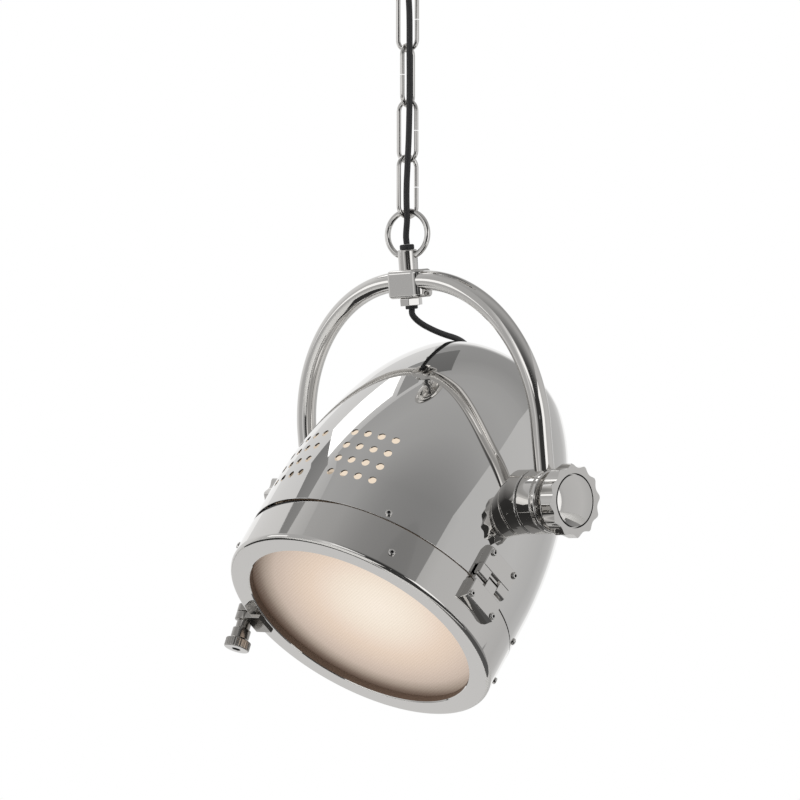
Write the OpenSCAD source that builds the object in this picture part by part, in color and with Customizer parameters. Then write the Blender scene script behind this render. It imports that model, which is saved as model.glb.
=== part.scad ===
// Pendant spot light: a bullet shade in a bent-tube yoke, hung on a short chain.
// Millimetres. The origin is the middle of the ceiling face, and +Z is up.

/* [Canopy and hook] */
// Diameter of the ceiling canopy
canopy_d = 120; // [110:1:150]
// Height of the canopy below the ceiling
canopy_h = 34; // [30:1:50]
// Wall of the canopy
canopy_wall = 1.5; // [1:0.1:2.5]
// Straight rim of the canopy
canopy_rim = 5; // [3:0.5:8]
// Diameter of the flat bottom of the canopy
canopy_flat_d = 56; // [52:1:70]
// Length of the crossbar
bar_l = 100; // [90:1:106]
// Width of the crossbar
bar_w = 22; // [20:1:28]
// Thickness of the crossbar
bar_t = 3; // [2:0.5:5]
// Distance between the two fixing holes
fixing_spacing = 70; // [60:1:78]
// Diameter of the fixing holes
fixing_d = 5.2; // [4:0.1:6.5]
// Diameter of the hook's threaded nipple
nipple_d = 10; // [8:0.5:12]
// Diameter of the hook's collar
hook_collar_d = 17; // [15:0.5:20]
// Height of the hook's collar
hook_collar_h = 10; // [8:0.5:14]
// Wire of the hook's eye
hook_wire = 5; // [4.5:0.1:6]
// Inside diameter of the hook's eye
hook_eye_d = 13; // [12:0.5:18]
// Turn of the hook's eye about the chain
hook_turn = 100; // [90:1:120]

/* [Chain] */
// Length of a link over all
link_l = 65.2; // [60:0.2:75]
// Width of a link over all
link_w = 26; // [24:0.2:30]
// Wire of a link
link_wire = 4.6; // [4:0.1:5.4]
// Open cut in one limb of a link
link_cut = 0.8; // [0.4:0.1:1.5]
// Gap between two wires that hang in each other
hang_gap = 0.3; // [0.25:0.05:0.6]

/* [Bail and stem] */
// Mean radius of the bail
bail_r = 23; // [21:0.5:28]
// Wire of the bail
bail_wire = 6; // [5:0.1:7]
// Turn of the bail about the chain
bail_turn = 14; // [0:1:30]
// Outside diameter of the stem
stem_d = 19.5; // [18:0.5:22]
// Bore of the stem above the collar
stem_bore_d = 12.5; // [11:0.5:13]
// Stem above the bail's pegs
stem_top = 5.2; // [4.5:0.1:8]
// Bail's pegs above the middle of the arch
peg_rise = 26.5; // [24:0.5:34]
// Thread of the stem through the collar
shank_d = 13; // [12:0.5:14]
// Bore of the stem's thread
shank_bore_d = 8; // [7:0.5:9]
// Flange of the rubber bush on the stem
bush_d = 14.5; // [13.5:0.5:17]
// Height of that flange
bush_h = 5; // [3:0.5:7]

/* [Yoke] */
// Outside diameter of the yoke tube
tube_d = 20; // [18:0.5:22]
// Wall of the yoke tube
tube_wall = 1.5; // [1:0.1:2.5]
// Half length of the straight top of the arch
arch_flat = 14.3; // [13:0.1:18]
// Swing room between the shade's cable outlet and the bush under the collar
swing_gap = 8; // [5:0.5:20]
// Fore and aft lean of the hanging yoke
yoke_lean = 6.4; // [0:0.2:10]
// Wall of the collar beside the tube
collar_wall = 1.5; // [1.2:0.1:2.5]
// Length of the collar along the arch
collar_l = 42; // [39:1:46]
// Rounding of the collar's corners
collar_edge = 4; // [3:0.5:5]
// Depth of the collar below the middle of the arch
collar_drop = 17; // [15:0.5:20]
// Height of the stem's seat above the middle of the arch
stem_seat = 10.5; // [9:0.5:12]
// Width across the flats of the collar nut
collar_nut_af = 20; // [18:0.5:24]
// Height of the collar nut
collar_nut_h = 7.5; // [6:0.5:10]
// Screws in the ends of the collar
set_screw_d = 3; // [2.5:0.5:3.5]
// Fit of the tubes in their sockets, all round
socket_fit = 0.05; // [0.02:0.01:0.1]

/* [Pivots and knobs] */
// Radius of the hub parts
hub_r = 32; // [29:0.5:34]
// Saddle boss, from the shade's widest circle to its outer face
hub_standoff = 6.6; // [6:0.1:10]
// Thickness of the friction washer
washer_t = 1; // [0.8:0.1:2]
// Length of the yoke's end boss
boss_l = 25; // [23:0.5:30]
// Face gap between parts that turn on each other
face_gap = 0.2; // [0.1:0.05:0.4]
// Diameter of the pivot stud
stud_d = 12; // [10:0.5:14]
// Radial play of the stud in its bores
stud_play = 0.1; // [0.05:0.01:0.15]
// Radius of the knob over its crests
knob_r = 36.5; // [34:0.5:42]
// Length of the fluted part of the knob
knob_l = 21; // [18:0.5:25]
// Collar between the knob and the boss
knob_neck = 4; // [3:0.5:6]
// Number of flutes round the knob
flutes = 12; // [10:1:16]
// Radius of one flute
flute_r = 13; // [11:0.5:15]
// Depth of one flute
flute_depth = 4; // [3:0.1:5]
// How far the knob narrows towards its back
knob_slope = 7; // [5:0.5:8]
// Radius of the knob's cap
cap_r = 25.4; // [22:0.2:27]
// Height of the cap's dome
cap_dome = 5.4; // [3:0.2:8]
// Groove round the cap
cap_groove = 0.8; // [0.4:0.1:1.2]

/* [Shade] */
// Outside radius of the shade and the bezel
shade_r = 142.5; // [135:0.5:150]
// Wall of the shade
shade_wall = 1.6; // [1.2:0.1:2.4]
// Pivot to the seam, along the lamp
seam_s = 108.5; // [104:0.5:116]
// Pivot to where the flank starts to curve
flank_s = 70; // [60:1:71]
// Radius of the long flank
flank_r = 470; // [440:5:520]
// Slope where the flank ends
flank_end = 17.3; // [16:0.1:19]
// Radius of the shoulder
shoulder_r = 230; // [210:2:250]
// Slope where the shoulder ends
shoulder_end = 36; // [34:0.5:40]
// Radius of the nose
nose_r = 80; // [74:1:86]
// Slope where the nose ends
nose_end = 70; // [66:0.5:73]
// Tilt of the lamp from the yoke
lamp_tilt = 44.6; // [15:0.2:90]
// Diameter of the vent holes
vent_d = 8; // [6:0.5:9]
// Rows and columns of vent holes in one group
vent_n = 4; // [3:1:4]
// Step between the rows
vent_step = 17.2; // [14:0.2:18]
// Angle between the columns
vent_angle = 6.5; // [6:0.1:7]
// Middle of a group, forward of the pivot
vent_s = 48; // [44:0.2:52]
// Angle of a group's middle from the pivot axis
vent_turn = 71.8; // [70:0.2:74]
// Rim screws, back from the seam
rim_screw_back = 7; // [5:0.5:10]
// Angle of the first rim screw from the hinge
rim_screw_turn = 49.5; // [40:0.5:52]
// Thickness of the rim hoop
hoop_t = 3; // [2:0.2:4]

/* [Bezel and glass] */
// Length of the bezel from its back edge to its face
bezel_l = 47.5; // [40:0.5:56]
// Gap at the seam between shade and bezel
seam_gap = 1; // [0.6:0.1:2]
// Wall of the bezel
bezel_wall = 2.5; // [2:0.1:3.5]
// Thickness of the bezel's face
face_t = 4; // [3:0.2:6]
// Rounding of the bezel's front edge
lip_r = 4.5; // [3:0.5:7]
// Height of the glass seat behind the bezel's face
seat_l = 4; // [2:0.5:6]
// Width of the glass seat
seat_w = 6; // [4.5:0.5:7]
// Width of the bezel's face, from its edge to the glass opening
face_w = 22.5; // [18.5:0.5:28.5]
// Thickness of the glass
glass_t = 4; // [3:0.5:6]
// Room between the edge of the glass and the bezel's wall
glass_room = 7; // [4:0.5:9]
// Thickness of the gasket
gasket_t = 1; // [0.8:0.1:2]
// Thickness of a glass clip
clip_t = 2.5; // [2:0.1:3]
// Bezel screws, forward of the seam
bezel_screw_fwd = 30; // [26:0.5:33]
// Angle of the first bezel screw from the hinge
bezel_screw_turn = 41; // [36:0.5:50]
// Diameter of the small screws
screw_d = 4; // [3:0.5:5]
// Head of the small screws
screw_head_d = 7; // [6:0.5:8]
// Height of those heads
screw_head_h = 2.4; // [1.6:0.1:3]

/* [Hinge and latch] */
// Width of the hinge
hinge_w = 44; // [40:1:50]
// Radius of a hinge knuckle
knuckle_r = 4.2; // [3.8:0.1:5]
// Room between the knuckles and the shade
knuckle_clear = 0.5; // [0.4:0.1:1]
// Diameter of the hinge pin
hinge_pin_d = 4; // [3:0.5:5]
// Hinge pin, back from the seam
hinge_back = 5; // [4:0.5:6]
// Length of the plate of a leaf
leaf_l = 24; // [22:0.5:26]
// Width of the bezel's middle knuckle
knuckle_w = 14.5; // [12:0.5:18]
// Room between the ledge of a leaf and the other leaf's knuckles
ledge_clear = 0.6; // [0.5:0.1:1]
// Angle of the latch from the hinge
latch_turn = 177; // [174:1:184]
// Lean of the thumbscrew along the rim
latch_lean = 16; // [0:1:18]
// Distance of the thumbscrew outside the shade
latch_out = 18; // [17:0.5:22]
// Width of the latch bracket
latch_w = 24; // [22:0.5:28]
// Diameter of the thumbscrew's shank
latch_screw_d = 6; // [5:0.5:7]
// Radius of the thumbscrew's end flange
thumb_r = 13; // [11:0.5:15]

/* [Lampholder and cable] */
// Diameter of the lampholder
holder_d = 42; // [38:1:46]
// Length of the lampholder
holder_l = 56; // [50:1:60]
// Diameter of the bulb's screw cap
bulb_cap_d = 26.5; // [26:0.1:27]
// Diameter of the bulb
bulb_d = 60; // [55:1:65]
// Diameter of the cable
cable_d = 6.2; // [5:0.2:7]
// Radius of the rear cable outlet
outlet_r = 13; // [12:0.5:15]
// Height of the rear cable outlet
outlet_h = 14; // [13:0.5:16]

/* [Hidden] */
$fn = 48;

// Cuts reach this far past the faces they open
past = 1;

// Chain, measured down from the ceiling
hook_eye_r = (hook_eye_d + hook_wire) / 2;
hook_wire_z = -canopy_h - hook_collar_h - 2 * hook_eye_r;
link_bend_r = (link_w - link_wire) / 2;
link_span = link_l - link_wire;
link_pitch = link_span - link_wire - hang_gap;
first_link_z = hook_wire_z + (hook_wire + link_wire) / 2 + hang_gap;
link_turns = [15, 105, 8, 80];
link_cuts = [1, -1, 1, 1];
link_count = len(link_turns);
// The straight limbs are a little thinner than the bends, and reach into them
limb_step = 0.06;
limb_sink = 0.5;
function link_z(i) = first_link_z - i * link_pitch;

// Bail, hung in the last link
bail_top_z = link_z(link_count - 1) - link_span + (link_wire + bail_wire) / 2 + hang_gap;
peg_x = stem_d / 2 + 1.2;
peg_end = stem_bore_d / 2 + 0.4;
peg_half_angle = asin(peg_x / bail_r);
peg_drop = bail_r * cos(peg_half_angle);
peg_z = bail_top_z - bail_r - peg_drop;
peg_play = 0.3;

// Dome of the shade: four arcs, each tangent to the next, in radius and height
function arc_next(a, radius, end) = [
    a[0] + (a[2] - radius) * cos(a[4]),
    a[1] + (a[2] - radius) * sin(a[4]),
    radius, a[4], end
];
flank_arc = [shade_r - flank_r, -flank_s, flank_r, 0, flank_end];
shoulder_arc = arc_next(flank_arc, shoulder_r, shoulder_end);
nose_arc = arc_next(shoulder_arc, nose_r, nose_end);
crown_r = nose_r + nose_arc[0] / cos(nose_end);
crown_arc = arc_next(nose_arc, crown_r, 90);
dome_arcs = [flank_arc, shoulder_arc, nose_arc, crown_arc];
dome_steps = 6;
dome_end = crown_arc[1] + crown_r;
function arc_point(a, t, inset) = let (angle = a[3] + (a[4] - a[3]) * t)
    [max(0, a[0] + (a[2] - inset) * cos(angle)), a[1] + (a[2] - inset) * sin(angle)];
function dome_points(inset) = [
    for (a = dome_arcs) for (i = [a == flank_arc ? 0 : 1 : dome_steps]) arc_point(a, i / dome_steps, inset)
];

// Hub stations along the pivot axis
saddle_face = shade_r + hub_standoff;
boss_x = saddle_face + face_gap + washer_t + face_gap;
yoke_half = boss_x + boss_l / 2;
knob_x = boss_x + boss_l + face_gap;
knob_face = knob_x + knob_neck + knob_l;
cap_seat = 3;
pad_x = shade_r - 32;
stud_nut_l = 8;

// Yoke, measured up from the pivot
collar_bush_h = 3.5;
arch_z = dome_end + outlet_h + swing_gap + collar_bush_h + collar_nut_h + collar_drop;
arch_r = yoke_half - arch_flat;
leg_top = arch_z - arch_r;
leg_foot = stud_d / 2 + 14;
peg_height = arch_z + peg_rise;
socket_x = shank_d / 2 + 3.5;
spigot_d = tube_d - 0.4;
collar_r = tube_d / 2 + collar_wall;
collar_top = max(collar_r, stem_seat + 1);
collar_turn = asin((collar_l / 2 - arch_flat) / arch_r) + 2;
set_screw_drop = (tube_d / 2 + collar_drop) / 2;
set_screw_head_d = collar_drop - tube_d / 2 - 1.4;
set_screw_l = 8;

// Bezel
bezel_back = seam_s + seam_gap;
bezel_face = bezel_back + bezel_l;
opening_r = shade_r - face_w;
glass_r = shade_r - bezel_wall - glass_room;
seat_s = bezel_face - face_t - seat_l;
glass_back = seat_s - gasket_t - glass_t;
bezel_screw_s = seam_s + bezel_screw_fwd;
rim_screw_s = seam_s - rim_screw_back;
rim_turns = [for (i = [0 : 3]) rim_screw_turn + 90 * i];
bezel_turns = [for (i = [0 : 3]) bezel_screw_turn + 90 * i];

// Hinge
hinge_s = seam_s - hinge_back;
hinge_x = shade_r + knuckle_clear + knuckle_r;
leaf_top = hinge_x + knuckle_r;
leaf_gap = 4.3;
knuckle_side = 0.4;
leaf_screw_y = hinge_w / 2 - 4;
leaf_screw_off = 25;

// Latch
latch_r = shade_r + latch_out;
latch_wing_t = 8;
latch_back = 15.5;
latch_wing_s = bezel_face - latch_back;
latch_reach = 52;

// Screws and nuts
hole_play = 0.1;

// Route of the cable from the canopy to just over the stem's bush
bush_top = [0, 0, peg_height + stem_top + bush_h + face_gap];
gland_drop = 8;
gland_foot = [12, -12, -canopy_h - gland_drop - face_gap];
chain_route = [
    gland_foot, gland_foot - [0, 0, 5], [11.5, -11, -58], [10.5, -8.5, -74], [9.8, -7.2, -88],
    [9.2, -6.5, -106], [9.2, -6.5, -124], [9, -6.2, -143],
    [9.2, -6.5, -162], [9, -6.6, -180], [8.6, -6.8, -199],
    [8.2, -7, -212], [7.6, -7.2, -224], [7, -7.4, -237.5],
    [6.4, -7.6, -249], [6, -7.6, -262], [5.6, -7, -275],
    [4.2, -5, -288], yoke_point(bush_top + [0, 0, 9]), yoke_point(bush_top)
];
chain_cuts = [0, 4, 7, 10, 13, 16, 19];

// Sweep of a round tube along part of a route
tube_sides = 10;
function unit(v) = v / norm(v);
function tangent(route, i) = unit(route[min(i + 1, len(route) - 1)] - route[max(i - 1, 0)]);
function ring_points(route, i, d) = let (
    t = tangent(route, i),
    across = unit(cross(t, [0.6, 0.8, 0.05])),
    other = cross(t, across)
) [for (k = [0 : tube_sides - 1]) let (a = 360 * k / tube_sides)
    route[i] + d / 2 * (across * cos(a) + other * sin(a))];
function quads(rings) = [
    for (i = [0 : rings - 2]) for (k = [0 : tube_sides - 1]) let (n = (k + 1) % tube_sides)
        [i * tube_sides + k, (i + 1) * tube_sides + k, (i + 1) * tube_sides + n, i * tube_sides + n]
];
module swept(route, first, last, d) {
    rings = last - first + 1;
    front = [for (k = [0 : tube_sides - 1]) k];
    rear = [for (k = [tube_sides - 1 : -1 : 0]) (rings - 1) * tube_sides + k];
    polyhedron(
        points = [for (i = [first : last]) each ring_points(route, i, d)],
        faces = concat([front], quads(rings), [rear]),
        convexity = 4
    );
}

// Frames: the yoke hangs from the pegs, and the lamp tilts in the yoke
module in_yoke() {
    translate([0, 0, peg_z]) rotate([yoke_lean, 0, 0]) translate([0, 0, -peg_height]) children();
}
module in_lamp() {
    in_yoke() rotate([-lamp_tilt, 0, 0]) children();
}
module on_side(side) {
    if (side > 0) children();
    else mirror([1, 0, 0]) children();
}
module both_sides() {
    on_side(1) children();
    on_side(-1) children();
}
module along_x(x) {
    translate([x, 0, 0]) rotate([0, 90, 0]) children();
}
// Places that face outwards on the lamp: angle from the hinge, distance forward of the pivot
module on_lamp(turn, s) {
    rotate([0, 0, -turn]) translate([0, 0, -s]) children();
}

// Shapes that repeat
module lathe(points) {
    rotate_extrude($fn = 96) polygon(points);
}
module pipe(d, bore, h) {
    difference() {
        cylinder(d = d, h = h);
        translate([0, 0, -past]) cylinder(d = bore, h = h + 2 * past);
    }
}
module hex_nut(af, bore, h) {
    difference() {
        cylinder(d = af / cos(30), h = h, $fn = 6);
        translate([0, 0, -past]) cylinder(d = bore, h = h + 2 * past);
    }
}
module bend(radius, d, angle) {
    rotate([90, 0, 0]) rotate_extrude(angle = angle) translate([radius, 0]) circle(d = d);
}
module pipe_bend(radius, d, bore, angle) {
    rotate([90, 0, 0]) rotate_extrude(angle = angle) translate([radius, 0]) difference() {
        circle(d = d);
        circle(d = bore);
    }
}
// A small screw that stands on x and points inwards
module small_screw(x, inner) {
    along_x(x) lathe([
        [0, 0], [screw_head_d / 2, 0], [screw_head_d / 2, screw_head_h * 0.5],
        [screw_head_d * 0.36, screw_head_h * 0.9], [screw_head_d * 0.2, screw_head_h], [0, screw_head_h]
    ]);
    along_x(inner) cylinder(d = screw_d, h = x - inner + 0.2);
}

// Ceiling end
module canopy_outline(inset) {
    flat = canopy_flat_d / 2;
    polygon(concat(
        [[0, past], [canopy_d / 2 - inset, past], [canopy_d / 2 - inset, -canopy_rim]],
        [for (t = [15 : 15 : 90]) [
            flat + (canopy_d / 2 - inset - flat) * cos(t),
            -canopy_rim - (canopy_h - inset - canopy_rim) * sin(t)
        ]],
        [[0, -canopy_h + inset]]
    ));
}
gland_at = [gland_foot[0], gland_foot[1], 0];
gland_d = cable_d + 5;
module canopy() {
    color("gainsboro") difference() {
        rotate_extrude($fn = 96) difference() {
            canopy_outline(0);
            canopy_outline(canopy_wall);
            square([canopy_d, 3 * past]);
        }
        translate([0, 0, -canopy_h - past])
            cylinder(d = nipple_d + 2 * hole_play, h = canopy_wall + 2 * past);
        translate(gland_at + [0, 0, -canopy_h - past])
            cylinder(d = cable_d + 2 + 2 * hole_play, h = canopy_wall + 2 * past);
    }
}
module crossbar() {
    color("lightgray") difference() {
        translate([-bar_l / 2, -bar_w / 2, -bar_t]) cube([bar_l, bar_w, bar_t]);
        for (side = [-1, 1]) translate([side * fixing_spacing / 2, 0, -bar_t - past])
            cylinder(d = fixing_d, h = bar_t + 2 * past);
        translate([0, 0, -bar_t - past]) cylinder(d = nipple_d + 2 * hole_play, h = bar_t + 2 * past);
    }
}
hook_nut_h = 6;
module hook() {
    color("gainsboro") {
        translate([0, 0, -canopy_h - hook_collar_h]) cylinder(d = hook_collar_d, h = hook_collar_h);
        translate([0, 0, -canopy_h - past]) cylinder(d = nipple_d, h = canopy_h + past - 0.5);
        translate([0, 0, hook_wire_z + hook_eye_r]) rotate([0, 0, hook_turn])
            bend(hook_eye_r, hook_wire, 360);
    }
}
module hook_nut() {
    color("silver") translate([0, 0, -canopy_h + canopy_wall])
        pipe(nipple_d * 1.8, nipple_d + 0.1, hook_nut_h);
}
module canopy_gland() {
    color("dimgray") translate(gland_at) {
        translate([0, 0, -canopy_h - gland_drop]) cylinder(d1 = cable_d + 2, d2 = gland_d, h = gland_drop);
        translate([0, 0, -canopy_h - past]) cylinder(d = cable_d + 2, h = canopy_wall + 2 * past);
    }
}

// Chain
module link(i) {
    straight = link_span - 2 * link_bend_r;
    color("silver") translate([0, 0, link_z(i)]) rotate([0, 0, link_turns[i]]) {
        translate([0, 0, -link_bend_r]) bend(link_bend_r, link_wire, 180);
        translate([0, 0, -link_bend_r - straight]) rotate([0, 180, 0]) bend(link_bend_r, link_wire, 180);
        difference() {
            for (side = [-1, 1]) translate([side * link_bend_r, 0, -link_bend_r - straight - limb_sink])
                cylinder(d = link_wire - limb_step, h = straight + 2 * limb_sink);
            translate([link_cuts[i] * link_bend_r, 0, -link_span / 2])
                cube([link_wire + past, link_wire + past, link_cut], center = true);
        }
    }
}
module link_1() { link(0); }
module link_2() { link(1); }
module link_3() { link(2); }
module link_4() { link(3); }
module chain_cable(i) {
    color("black") swept(chain_route, chain_cuts[i], chain_cuts[i + 1], cable_d);
}
module cable_1() { chain_cable(0); }
module cable_2() { chain_cable(1); }
module cable_3() { chain_cable(2); }
module cable_4() { chain_cable(3); }
module cable_5() { chain_cable(4); }
module cable_6() { chain_cable(5); }

// Bail
module bail() {
    color("silver") translate([0, 0, peg_z + peg_drop]) rotate([0, 0, bail_turn]) {
        rotate([0, 90 - peg_half_angle, 0]) bend(bail_r, bail_wire, 360 - 2 * peg_half_angle);
        for (side = [-1, 1]) translate([side * peg_x, 0, -peg_drop]) {
            sphere(d = bail_wire + 0.4);
            rotate([0, -90 * side, 0]) cylinder(d = bail_wire, h = peg_x - peg_end);
        }
    }
}

// Yoke
module stem() {
    top = peg_height + stem_top;
    foot = arch_z - collar_drop - collar_nut_h;
    color("silver") difference() {
        in_yoke() lathe([
            [shank_bore_d / 2, foot], [shank_d / 2, foot], [shank_d / 2, arch_z + stem_seat],
            [stem_d / 2, arch_z + stem_seat], [stem_d / 2, top - 1], [stem_d / 2 - 1, top],
            [stem_bore_d / 2, top], [stem_bore_d / 2, arch_z + stem_seat + 4],
            [shank_bore_d / 2, arch_z + stem_seat + 4]
        ]);
        translate([0, 0, peg_z]) rotate([0, 0, bail_turn]) along_x(-stem_d)
            cylinder(d = bail_wire + 2 * peg_play, h = 2 * stem_d);
    }
}
module stem_bush() {
    top = peg_height + stem_top;
    plug_r = stem_bore_d / 2 - hole_play;
    color("black") in_yoke() lathe([
        [0, top - 4], [plug_r, top - 4], [plug_r, top], [bush_d / 2 - 1, top], [bush_d / 2, top + 1],
        [bush_d / 2, top + bush_h - 1.5], [bush_d / 2 - 1.5, top + bush_h], [0, top + bush_h]
    ]);
}
// Bent part of the arch on the right side, down from its straight top
module arch_right(angle) {
    translate([arch_flat, 0, leg_top]) rotate([0, angle - 90, 0]) children();
}
// A block with four rounded corners, standing on its plan
module rounded_block(l, w, h, edge) {
    translate([-l / 2 + edge, -w / 2, 0]) cube([l - 2 * edge, w, h]);
    translate([-l / 2, -w / 2 + edge, 0]) cube([l, w - 2 * edge, h]);
    for (x = [-1, 1], y = [-1, 1]) translate([x * (l / 2 - edge), y * (w / 2 - edge), 0])
        cylinder(r = edge, h = h);
}
module collar() {
    tall = collar_top + collar_drop;
    color("silver") in_yoke() difference() {
        intersection() {
            translate([0, 0, arch_z - collar_drop]) rounded_block(collar_l, 2 * collar_r, tall, collar_edge);
            translate([0, 2 * collar_r, arch_z - collar_drop + tall / 2]) rotate([90, 0, 0])
                rounded_block(collar_l, tall, 4 * collar_r, collar_edge);
        }
        both_sides() {
            translate([0, 0, arch_z]) along_x(socket_x)
                cylinder(d = spigot_d + 2 * socket_fit, h = arch_flat - socket_x + socket_fit);
            arch_right(collar_turn) bend(arch_r, tube_d + 2 * socket_fit, collar_turn);
        }
        translate([0, 0, arch_z + stem_seat]) cylinder(d = stem_d + 4 * hole_play, h = collar_r);
        translate([0, 0, arch_z - collar_drop - past])
            cylinder(d = shank_d + 2 * hole_play, h = collar_drop + stem_seat + 2 * past);
        both_sides() translate([0, 0, arch_z - set_screw_drop]) along_x(collar_l / 2 - set_screw_l - 1)
            cylinder(d = set_screw_d + 2 * hole_play, h = 2 * set_screw_l);
    }
}
module collar_nut() {
    color("silver") in_yoke() translate([0, 0, arch_z - collar_drop - collar_nut_h])
        hex_nut(collar_nut_af, shank_d + 0.1, collar_nut_h);
}
module collar_bush() {
    top = arch_z - collar_drop - collar_nut_h;
    plug_r = shank_bore_d / 2 - hole_play;
    color("black") in_yoke() lathe([
        [0, top - collar_bush_h], [cable_d, top - collar_bush_h], [cable_d, top], [plug_r, top],
        [plug_r, top + 6], [0, top + 6]
    ]);
}
module set_screws() {
    color("dimgray") in_yoke() both_sides() translate([0, 0, arch_z - set_screw_drop]) {
        along_x(collar_l / 2 + 0.1) cylinder(d = set_screw_head_d, h = 3);
        along_x(collar_l / 2 - set_screw_l) cylinder(d = set_screw_d, h = set_screw_l + 1);
    }
}
module yoke_arm(side) {
    bore = tube_d - 2 * tube_wall;
    color("gainsboro") in_yoke() on_side(side) {
        translate([0, 0, arch_z]) along_x(socket_x + 0.3)
            pipe(spigot_d, spigot_d - 2 * tube_wall + 0.8, arch_flat - socket_x - 0.3);
        arch_right(90) pipe_bend(arch_r, tube_d, bore, 90);
        translate([yoke_half, 0, leg_foot]) pipe(tube_d, bore, leg_top - leg_foot);
    }
}
module yoke_arm_left() { yoke_arm(-1); }
module yoke_arm_right() { yoke_arm(1); }
module yoke_boss(side) {
    round = 2.5;
    groove = 1;
    color("silver") in_yoke() on_side(side) difference() {
        along_x(boss_x) lathe([
            [0, 0], [hub_r - 1, 0], [hub_r, 1], [hub_r, boss_l * 0.74], [hub_r - groove, boss_l * 0.76],
            [hub_r - groove, boss_l * 0.8], [hub_r - 0.3, boss_l * 0.82], [hub_r - 0.3, boss_l - round],
            [hub_r - round, boss_l], [0, boss_l]
        ]);
        along_x(boss_x - past) cylinder(d = stud_d + 2 * stud_play, h = boss_l + 2 * past);
        translate([yoke_half, 0, leg_foot - 0.2]) cylinder(d = tube_d + 2 * socket_fit, h = hub_r);
    }
}
module yoke_boss_left() { yoke_boss(-1); }
module yoke_boss_right() { yoke_boss(1); }

// Lower run of the cable: its ends stay on the collar's bush and on the shade's outlet
function yoke_point(p) = [
    p[0],
    p[1] * cos(yoke_lean) - (p[2] - peg_height) * sin(yoke_lean),
    peg_z + p[1] * sin(yoke_lean) + (p[2] - peg_height) * cos(yoke_lean)
];
function lamp_point(p) = yoke_point([
    p[0],
    p[1] * cos(lamp_tilt) + p[2] * sin(lamp_tilt),
    p[2] * cos(lamp_tilt) - p[1] * sin(lamp_tilt)
]);
outlet_turn = 130;
outlet_rise = 6.2;
outlet_reach = outlet_r + 3;
function outlet_point(reach) =
    lamp_point([reach * cos(outlet_turn), -reach * sin(outlet_turn), dome_end + outlet_rise]);
bush_foot = [0, 0, arch_z - collar_drop - collar_nut_h - collar_bush_h];
lower_route = concat(
    [yoke_point(bush_foot), yoke_point(bush_foot - [0, 0, 5])],
    [
        [0.3, 11.6, -386.2], [0.4, 21, -391], [0.2, 33, -395], [0, 45, -398.2],
        [-0.6, 57, -400.6], [-2.6, 68, -402], [-6, 78.5, -403.4], [-10, 88.5, -405.2], [-14, 98, -407.6],
        [-17, 107.5, -410.4], [-18.4, 116.5, -413.8]
    ],
    [outlet_point(outlet_reach + 7), outlet_point(outlet_reach + face_gap)]
);
module cable_7() {
    color("black") swept(lower_route, 0, len(lower_route) - 1, cable_d);
}

// Shade
module shade_solid(inset) {
    lathe(concat([[0, -seam_s - past], [shade_r - inset, -seam_s - past]], dome_points(inset)));
}
module shade() {
    color("gainsboro") in_lamp() difference() {
        lathe(concat(
            [[shade_r - shade_wall, -seam_s], [shade_r, -seam_s]],
            dome_points(0),
            reversed(dome_points(shade_wall))
        ));
        for (group = [vent_turn, 180 - vent_turn]) for (row = [0 : vent_n - 1]) for (col = [0 : vent_n - 1])
            on_lamp(
                group + (col - (vent_n - 1) / 2) * vent_angle,
                vent_s + (row - (vent_n - 1) / 2) * vent_step
            )
                along_x(shade_r - 20) cylinder(d = vent_d, h = 40);
        for (turn = rim_turns) on_lamp(turn, rim_screw_s) along_x(shade_r - 10)
            cylinder(d = screw_d + 2 * hole_play, h = 20);
        both_sides() along_x(pad_x) cylinder(d = stud_d + 2 * hole_play, h = 60);
        for (side = [-1, 1]) translate([0, side * leaf_screw_y, -hinge_s + leaf_screw_off])
            along_x(shade_r - 10)
            cylinder(d = screw_d + 2 * hole_play, h = 20);
        cylinder(d = nipple_d + 2 * hole_play, h = dome_end + past);
    }
}
function reversed(list) = [for (i = [len(list) - 1 : -1 : 0]) list[i]];

// Pivots
module saddle_bosses() {
    color("silver") in_lamp() both_sides() difference() {
        along_x(pad_x) lathe([
            [0, 0], [hub_r, 0], [hub_r, saddle_face - pad_x - 1], [hub_r - 1, saddle_face - pad_x],
            [0, saddle_face - pad_x]
        ]);
        shade_solid(0);
        along_x(pad_x - past) cylinder(d = stud_d + 2 * hole_play, h = 60);
    }
}
module friction_washers() {
    color("dimgray") in_lamp() both_sides() along_x(saddle_face)
        pipe(2 * hub_r - 2, stud_d + 2 * hole_play, washer_t);
}
module pivot_studs() {
    color("silver") in_lamp() both_sides() along_x(pad_x - stud_nut_l - 2)
        cylinder(d = stud_d, h = knob_face - cap_seat - 2 - pad_x + stud_nut_l + 2);
}
module saddle_pads() {
    color("silver") in_lamp() both_sides() difference() {
        intersection() {
            along_x(pad_x) cylinder(r = hub_r / 2, h = 60);
            shade_solid(shade_wall);
        }
        along_x(pad_x - past) cylinder(d = stud_d + 2 * hole_play, h = 60);
    }
}
module stud_nuts() {
    color("silver") in_lamp() both_sides() along_x(pad_x - stud_nut_l)
        hex_nut(stud_d * 1.6, stud_d + 0.1, stud_nut_l);
}

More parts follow.
